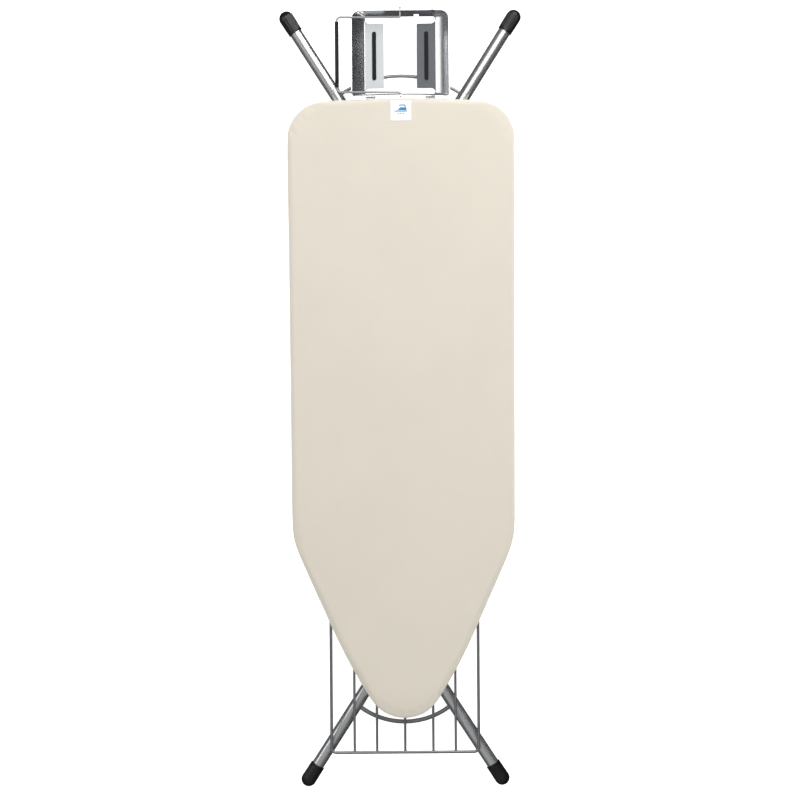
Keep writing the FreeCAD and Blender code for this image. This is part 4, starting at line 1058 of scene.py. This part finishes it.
@dataclass
class Label:
    """A sewn cloth label near the square end, printed with a plain ironing sign."""

    ground: bpy.types.Object
    proud: float = 0.45 * MM
    steps: int = 28
    stitch_inset: float = 1.8 * MM
    line: float = 1.9 * MM
    sign: float = 24.0 * MM
    heat_dots: int = 3
    dot_radius: float = 0.05
    ink: float = 0.06 * MM
    edge: float = 2.4 * MM

    def __post_init__(self) -> None:
        """Read the label's place, and the cover that it lies on."""
        self.low, self.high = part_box("cover_label")
        self.centre = (self.low + self.high) / 2

    def _height(self, x: float, y: float) -> float:
        """Top of the cover at a place."""
        hit, where, _, _ = self.ground.ray_cast(Vector((x, y, 1.0)), Vector((0, 0, -1)))
        return where.z if hit else self.low.z

    def _on_label(self, x: float, y: float, above: float) -> Vector:
        """A point on the label, from its middle, lifted above the cover."""
        place_x = self.centre.x + x
        place_y = self.centre.y + y
        return Vector((place_x, place_y, self._height(place_x, place_y) + above))

    def build(self) -> list[bpy.types.Object]:
        """Build the label, its stitches and its sign.

        Returns:
            The three pieces.
        """
        half_x = (self.high.x - self.low.x) / 2
        half_y = (self.high.y - self.low.y) / 2
        bm = bmesh.new()
        rows = []
        for row in range(self.steps + 1):
            y = half_y * (2 * row / self.steps - 1)
            points = []
            for column in range(self.steps + 1):
                x = half_x * (2 * column / self.steps - 1)
                to_edge = min(half_x - abs(x), half_y - abs(y))
                soft = 1 - min(1.0, to_edge / self.edge)
                wave = 0.05 * MM * math.sin(x / (3.1 * MM)) * math.sin(y / (4.3 * MM))
                points.append(self._on_label(x, y, self.proud * (1 - 0.45 * soft ** 2) + wave))
            rows.append(points)
        ring_mesh(bm, rows, closed=False)
        label = new_piece("sewn_label", bm, LABEL_WEAVE, "board")
        thicken(label, 0.35 * MM)
        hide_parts("cover_label")
        return [label, self._stitches(half_x, half_y), self._sign()]

    def _stitches(self, half_x: float, half_y: float) -> bpy.types.Object:
        """Stitches round the label, a little in from its edge."""
        right, far = half_x - self.stitch_inset, half_y - self.stitch_inset
        corners = [(-right, -far), (right, -far), (right, far), (-right, far), (-right, -far)]
        bm = bmesh.new()
        for (x0, y0), (x1, y1) in zip(corners, corners[1:]):
            route = []
            for step in range(9):
                share = step / 8
                x, y = x0 + (x1 - x0) * share, y0 + (y1 - y0) * share
                route.append(self._on_label(x, y, self.proud * 0.95))
            stitch_row(bm, route, Vector((0, 0, 1)), 2.4 * MM, 1.7 * MM, 0.38 * MM)
        return new_piece("label_stitches", bm, LABEL_WEAVE, "board")

    def _stroke(self, bm: bmesh.types.BMesh, points: Sequence[Point]) -> None:
        """Add a printed line through points given as shares of the sign's size."""
        route = []
        for (x0, y0), (x1, y1) in zip(points, points[1:]):
            for step in range(6):
                share = step / 6
                route.append(Vector((x0 + (x1 - x0) * share, y0 + (y1 - y0) * share)) * self.sign)
        route.append(Vector(points[-1]) * self.sign)
        left, right = [], []
        for index, point in enumerate(route):
            before = route[max(0, index - 1)]
            after = route[min(len(route) - 1, index + 1)]
            along = (after - before).normalized()
            side = Vector((-along.y, along.x)) * (self.line / 2)
            for edge, place in ((left, point + side), (right, point - side)):
                edge.append(self._on_label(place.x, place.y, self.proud + self.ink))
        ring_mesh(bm, [left, right], closed=False)

    def _patch(self, bm: bmesh.types.BMesh, outline: Sequence[Point]) -> None:
        """Add a printed patch inside an outline given as shares of the sign's size."""
        placed = [Vector(point) * self.sign for point in outline]
        bm.faces.new([bm.verts.new(self._on_label(p.x, p.y, self.proud + self.ink)) for p in placed])

    def _sign(self) -> bpy.types.Object:
        """A flat iron over its heat dots."""
        bm = bmesh.new()
        quarter = [math.pi / 2 * step / 8 for step in range(9)]
        body = [(-0.5 + 0.42 * math.sin(a), 0.02 + 0.26 * (1 - math.cos(a))) for a in quarter]
        self._patch(bm, body + [(0.44, 0.28), (0.5, 0.02)])
        self._patch(bm, [(-0.52, -0.08), (-0.52, -0.02), (0.52, -0.02), (0.52, -0.08)])
        self._stroke(bm, [(0.4, 0.27), (0.35, 0.47), (-0.06, 0.47), (-0.1, 0.41)])
        for dot in range(self.heat_dots):
            middle = (dot - (self.heat_dots - 1) / 2) * 0.2
            circle = [2 * math.pi * step / 16 for step in range(16)]
            self._patch(bm, [(middle + self.dot_radius * math.cos(a), -0.24 + self.dot_radius * math.sin(a))
                             for a in circle])
        sign = new_piece("label_iron_sign", bm, LABEL_INK, "board")
        thicken(sign, 0.05 * MM)
        return sign


# Deck --------------------------------------------------------------------------------------

@dataclass
class DeckMesh:
    """The expanded steel deck: diamonds cut and stretched from one sheet."""

    outline: Outline
    inset: float = 4.0 * MM
    long_way: float = 30.0 * MM
    short_way: float = 12.0 * MM
    strand: float = 1.1 * MM
    border: float = 6.0 * MM
    twist: float = 0.25 * MM
    least_area: float = 1e-6

    def _cells(self) -> Iterable[list[Vector]]:
        """Diamonds over the whole board, long way across."""
        low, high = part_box("deck_sheet")
        columns = math.ceil((high.x - low.x) / self.long_way) + 1
        rows = math.ceil((high.y - low.y) / self.short_way) * 2 + 2
        for row in range(rows):
            y = low.y + row * self.short_way / 2
            shift = self.long_way / 2 if row % 2 else 0.0
            for column in range(-1, columns + 1):
                x = low.x + column * self.long_way + shift
                reach = ((-self.long_way, 0), (0, -self.short_way), (self.long_way, 0), (0, self.short_way))
                yield [Vector((x + along / 2, y + across / 2)) for along, across in reach]

    @staticmethod
    def _clipped(cell: list[Vector], edge: Sequence[Vector]) -> list[Vector]:
        """The part of a cell inside the edge, which bulges everywhere."""
        kept = cell
        for a, b in zip(edge, list(edge[1:]) + [edge[0]]):
            if not kept:
                break
            run = b - a
            sides = [run.x * (p.y - a.y) - run.y * (p.x - a.x) for p in kept]
            fresh = []
            for index, point in enumerate(kept):
                before, side_before, side = kept[index - 1], sides[index - 1], sides[index]
                if (side > 0) != (side_before > 0):
                    fresh.append(before.lerp(point, side_before / (side_before - side)))
                if side > 0:
                    fresh.append(point)
            kept = fresh
        return kept

    def build(self) -> bpy.types.Object:
        """Build the mesh inside the rim, with a plain border.

        Returns:
            The deck.
        """
        low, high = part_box("deck_sheet")
        z = (low.z + high.z) / 2
        edge = [Vector((p.x, p.y)) for p in self.outline.ring(self.inset + self.border, z)][::6]
        if sum(a.x * b.y - b.x * a.y for a, b in zip(edge, edge[1:] + edge[:1])) < 0:
            edge.reverse()
        bm = bmesh.new()
        for cell in self._cells():
            part = self._clipped(cell, edge)
            if len(part) < 3 or geometry.area_tri(*[p.to_3d() for p in part[:3]]) < self.least_area:
                continue
            waves = [self.twist * math.sin(p.x * 2 * math.pi / self.long_way) for p in part]
            bm.faces.new([bm.verts.new((p.x, p.y, z + wave)) for p, wave in zip(part, waves)])
        inset = bmesh.ops.inset_individual(bm, faces=list(bm.faces), thickness=self.strand)
        ring_faces = set(inset["faces"])
        bmesh.ops.delete(bm, geom=[face for face in bm.faces if face not in ring_faces], context="FACES")
        bmesh.ops.remove_doubles(bm, verts=bm.verts, dist=0.02 * MM)
        shares = (0.0, 0.5, 1.12)
        ring_mesh(bm, [self.outline.ring(self.inset + share * self.border, z)[::3] for share in shares])
        deck = new_piece("deck_expanded_mesh", bm, DECK_COAT, "board", smooth=False)
        thicken(deck, (high.z - low.z) * 0.8, 0.0)
        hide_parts("deck_sheet")
        return deck


# Hard pieces -------------------------------------------------------------------------------

class Pair(Enum):
    """Which legs a piece belongs to."""

    INNER = "inner"
    OUTER = "outer"


@dataclass
class FootCap:
    """A moulded cap on a leg's end: fluted sides, a bead at the mouth and a domed end."""

    pair: Pair
    side: str
    flutes: int = 16
    flute_depth: float = 0.075
    bead: float = 1.6 * MM
    neck: float = 0.7 * MM
    segments: int = 128

    def _axis(self) -> tuple[Vector, Vector, float]:
        """Middle of the round end, direction towards the mouth, and radius."""
        foot_low, foot_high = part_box(f"{self.pair.value}_foot_{self.side}")
        tube_low, tube_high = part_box(f"{self.pair.value}_leg_{self.side}")
        radius = (foot_high.z - foot_low.z) / 2
        tube_radius = (tube_high.z - tube_low.z) / 2
        right = 1 if self.side == "right" else -1
        ahead = -1 if self.pair is Pair.INNER else 1
        foot_x = max(abs(foot_low.x), abs(foot_high.x)) - radius
        foot_y = max(abs(foot_low.y), abs(foot_high.y)) - radius
        along_y = (max(abs(tube_low.x), abs(tube_high.x)) - foot_x) / tube_radius
        along_x = math.sqrt(max(0.0, 1 - along_y ** 2))
        middle = Vector((right * foot_x, ahead * foot_y, (foot_low.z + foot_high.z) / 2))
        return middle, Vector((-right * along_x, -ahead * along_y, 0.0)).normalized(), radius

    def build(self, socket: float) -> bpy.types.Object:
        """Build the cap.

        Args:
            socket: Length from the mouth to the middle of the round end.

        Returns:
            The cap.
        """
        middle, towards_mouth, radius = self._axis()
        tube = radius - 2.4 * MM
        profile = [(0.0, tube), (0.0, radius - self.neck * 1.4), (self.bead * 0.3, radius - 0.25 * MM),
                   (self.bead * 0.7, radius), (self.bead * 1.3, radius - 0.2 * MM),
                   (self.bead * 1.8, radius - self.neck)]
        straight = 12
        for step in range(1, straight + 1):
            share = step / straight
            along = self.bead * 2 + (socket - self.bead * 2) * share
            profile.append((along, radius - self.neck * (1 - share) * 0.6))
        dome = 10
        for step in range(1, dome):
            angle = math.pi / 2 * step / dome
            profile.append((socket + radius * math.sin(angle), radius * math.cos(angle)))
        profile.append((socket + radius, radius * 0.02))

        def flute(along: float, angle: float) -> float:
            """Groove depth as a factor, none at the bead and run out on the dome."""
            enter = min(1.0, max(0.0, (along - self.bead * 2.2) / (3 * MM)))
            leave = min(1.0, max(0.0, (socket + radius * 0.72 - along) / (8 * MM)))
            groove = max(0.0, math.cos(self.flutes * angle)) ** 1.5
            return 1 - self.flute_depth * groove * enter * leave

        bm = bmesh.new()
        turned(bm, middle + towards_mouth * socket, -towards_mouth, profile, self.segments, flute)
        cap = new_piece(f"{self.pair.value}_cap_{self.side}", bm, CAP_PLASTIC, f"{self.pair.value}_legs")
        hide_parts(f"{self.pair.value}_foot_{self.side}")
        return cap


@dataclass
class BailSleeve:
    """The bail's ribbed rubber sleeve."""

    ribs: int = 20
    rib_depth: float = 0.05
    end: float = 2.2 * MM
    collar: float = 7.0 * MM
    segments: int = 80

    def build(self) -> bpy.types.Object:
        """Build the sleeve along the bail's side.

        Returns:
            The sleeve.
        """
        low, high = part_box("bail_sleeve")
        radius = (high.z - low.z) / 2
        length = high.y - low.y
        start = Vector(((low.x + high.x) / 2, low.y, (low.z + high.z) / 2))
        profile = [(0.0, radius * 0.56), (0.0, radius * 0.8), (self.end * 0.3, radius * 0.94),
                   (self.end, radius), (self.collar, radius), (self.collar + 0.5 * MM, radius * 0.9),
                   (self.collar + 1.1 * MM, radius * 0.9), (self.collar + 1.6 * MM, radius)]
        steps = 8
        for step in range(1, steps):
            profile.append((self.collar + (length - 2 * self.collar) * step / steps, radius))
        profile += [(length - along, reach) for along, reach in reversed(profile[:8])]

        def rib(along: float, angle: float) -> float:
            """Shallow ribs between the collars."""
            inside = self.collar + 2 * MM < along < length - self.collar - 2 * MM
            return 1 - self.rib_depth * max(0.0, math.cos(self.ribs * angle)) if inside else 1.0

        bm = bmesh.new()
        turned(bm, start, Vector((0, 1, 0)), profile, self.segments, rib)
        sleeve = new_piece("bail_ribbed_sleeve", bm, SLEEVE_RUBBER, "bail")
        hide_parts("bail_sleeve")
        return sleeve


@dataclass
class RackWelds:
    """Small resistance welds where the rack's wires meet its end bar."""

    wires: tuple[float, ...] = (0.0, 56.5 * MM, 101.5 * MM)
    radius: float = 2.9 * MM
    bar_radius: float = 3.0 * MM
    sunk: float = 0.4 * MM

    def build(self) -> bpy.types.Object:
        """Build the welds as flattened beads beside each joint.

        Returns:
            The welds.
        """
        low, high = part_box("rack_grid")
        z = high.z - self.bar_radius
        bm = bmesh.new()
        for x in sorted({side * wire for wire in self.wires for side in (-1, 1)}):
            centre = Vector((x, low.y + 2 * self.bar_radius - self.sunk, z))
            profile = [(-self.radius, 0.2 * MM)]
            for step in range(1, 8):
                angle = math.pi * step / 8
                profile.append((-self.radius * math.cos(angle), self.radius * 0.98 * math.sin(angle)))
            profile.append((self.radius, 0.2 * MM))
            turned(bm, centre, Vector((0, 1, 0)), profile, 20)
        return new_piece("rack_welds", bm, DARK_WIRE, "linen_rack")


# Studio ------------------------------------------------------------------------------------

@dataclass
class Studio:
    """Camera, soft lights and a pale floor."""

    camera_height: float = 5.065
    camera_lens: float = 112.6
    camera_x: float = -5.6 * MM
    camera_y: float = -4.0 * MM
    camera_roll: float = -0.42
    floor_size: float = 60.0
    floor_gap: float = 0.3 * MM
    sky: tuple[Point, ...] = ((0.0, 0.09), (0.2, 0.12), (0.45, 0.34), (0.8, 0.50), (1.0, 0.42))
    sky_strength: float = 1.0
    dark_side: float = 0.35
    dimming: Point = (0.1, 0.6)

    def camera(self) -> bpy.types.Object:
        """Make the camera, straight above the board.

        Returns:
            The camera.
        """
        data = bpy.data.cameras.new("studio_camera")
        data.lens = self.camera_lens
        data.clip_end = 200.0
        camera = bpy.data.objects.new("studio_camera", data)
        camera.location = (self.camera_x, self.camera_y, self.camera_height)
        camera.rotation_euler = (0.0, 0.0, math.radians(self.camera_roll))
        bpy.context.scene.collection.objects.link(camera)
        bpy.context.scene.camera = camera
        return camera

    def lamp(self, name: str, place: Sequence[float], size: Point, power: float, aim: Sequence[float],
             mirrored: bool = True) -> None:
        """Add a soft rectangular lamp.

        Args:
            name: The lamp's name.
            place: Where it stands.
            size: Width and height of its face.
            power: Watts.
            aim: The point that it faces.
            mirrored: Whether polished parts mirror it.
        """
        data = bpy.data.lights.new(name, "AREA")
        data.shape = "RECTANGLE"
        data.size, data.size_y = size
        data.energy = power
        lamp = bpy.data.objects.new(name, data)
        lamp.location = place
        lamp.rotation_mode = "QUATERNION"
        lamp.rotation_quaternion = (Vector(aim) - Vector(place)).to_track_quat("-Z", "Y")
        lamp.visible_camera = False
        lamp.visible_glossy = mirrored
        bpy.context.scene.collection.objects.link(lamp)

    def light(self) -> None:
        """Light the board: a sky, bright above and dim low down and to the right, and four lamps."""
        world = bpy.data.worlds.new("studio_sky")
        bpy.context.scene.world = world
        world.use_nodes = True
        sky = Tree(world.node_tree)
        across, _, up = sky.split(sky.node("ShaderNodeTexCoord", {}, {}, "Generated"))
        stops = [(height, (level, level, level)) for height, level in self.sky]
        grey = sky.node("ShaderNodeValToRGB", {"stops": stops}, {0: up})
        low, high = self.dimming
        dimmer = sky.node("ShaderNodeMapRange", {}, {
            "Value": across, "From Min": low, "From Max": high, "To Min": self.sky_strength,
            "To Max": self.sky_strength * self.dark_side})
        background = sky.tree.nodes["Background"]
        for name, link in (("Color", grey), ("Strength", dimmer)):
            sky.tree.links.new(link.socket, background.inputs[name])
        self.lamp("key_lamp", (0.3, 1.75, 3.0), (3.4, 1.7), 61.0, (-0.2, 0.2, 0.0))
        self.lamp("fill_lamp", (0.9, -2.4, 3.2), (3.0, 1.2), 32.0, (0.0, -0.1, 0.0), mirrored=False)
        self.lamp("side_lamp", (-3.0, 0.8, 1.9), (1.8, 1.3), 10.0, (0.0, 0.6, 0.05))
        self.lamp("rim_lamp", (1.5, 3.0, 1.6), (1.6, 1.0), 54.0, (0.0, 0.6, 0.05))
        settings = bpy.context.scene.view_settings
        settings.view_transform = "Standard"
        settings.look = "None"

    def floor(self) -> bpy.types.Object:
        """Lay the floor under the feet; it keeps level with them when the legs unfold.

        Returns:
            The floor.
        """
        half = self.floor_size / 2
        bm = bmesh.new()
        bmesh.ops.create_grid(bm, x_segments=8, y_segments=8, size=half)
        mesh = bpy.data.meshes.new("studio_floor")
        bm.to_mesh(mesh)
        bm.free()
        floor = bpy.data.objects.new("studio_floor", mesh)
        mesh.materials.append(Sweep("studio_sweep").material())
        bpy.context.scene.collection.objects.link(floor)
        low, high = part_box("inner_foot_right")
        radius = (high.z - low.z) / 2
        guide = bpy.data.objects.new("foot_level", None)
        guide.location = (0.0, low.y + radius, low.z + radius)
        bpy.context.scene.collection.objects.link(guide)
        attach(guide, "inner_legs")
        floor.location.z = -radius - self.floor_gap
        follow = floor.constraints.new("COPY_LOCATION")
        follow.target = guide
        follow.use_x = follow.use_y = False
        follow.use_offset = True
        floor.visible_glossy = False
        return floor


# Whole object ------------------------------------------------------------------------------

def dress_frame() -> None:
    """Give every piece of the frame that shows its finish."""
    dress(["deck_rim", "rest_stiffener", "pivot_stiffener", "middle_stiffener"], DECK_COAT)
    dress(both("inner_leg") + both("outer_leg"), SILVER)
    dress(["inner_arc", "outer_arc", "rack_rod", "prop_rod", "rack_grid", "prop_wire"], DARK_WIRE)
    dress(["rest_frame"], REST_SHEET)
    dress(["bail_wire"], BAIL_POLISH)
    dress(both("rest_strip"), STRIP_RUBBER)
    for name in ("slide_rail", "notch_comb", "pivot_bracket", "rest_arm", "pivot_plate", "slide_plate",
                 "lever_pawl"):
        dress(both(name), ZINC_PLATE)
    dress(["carriage_yoke", "lever_shaft", "slide_crossbar", "pivot_axle"], ZINC_PLATE)
    dress(["bracket_rivets", "rest_bolts", "rest_nuts", "scissor_bolts", "scissor_washers", "scissor_nuts"],
          ZINC_FASTENER)
    dress(["inner_tube_plugs", "outer_tube_plugs"], CAP_PLASTIC)
    dress(["pivot_bushes"] + both("slide_shoe"), NYLON)
    dress(["lever_grip"], GRIP_PLASTIC)


def main() -> None:
    """Build the studio, then the board from the deck up, then its fittings."""
    logging.basicConfig(level=logging.INFO, format="%(message)s")
    studio = Studio()
    studio.camera()
    studio.light()
    studio.floor()
    dress_frame()
    outline = Outline()
    DeckMesh(outline).build()
    pad = Pad(outline).build()
    cover = Cover(outline).build(pad)
    Label(cover).build()
    for pair in Pair:
        for side in ("right", "left"):
            FootCap(pair, side).build(socket=34.0 * MM)
    BailSleeve().build()
    RackWelds().build()


if __name__ == "__main__":
    main()
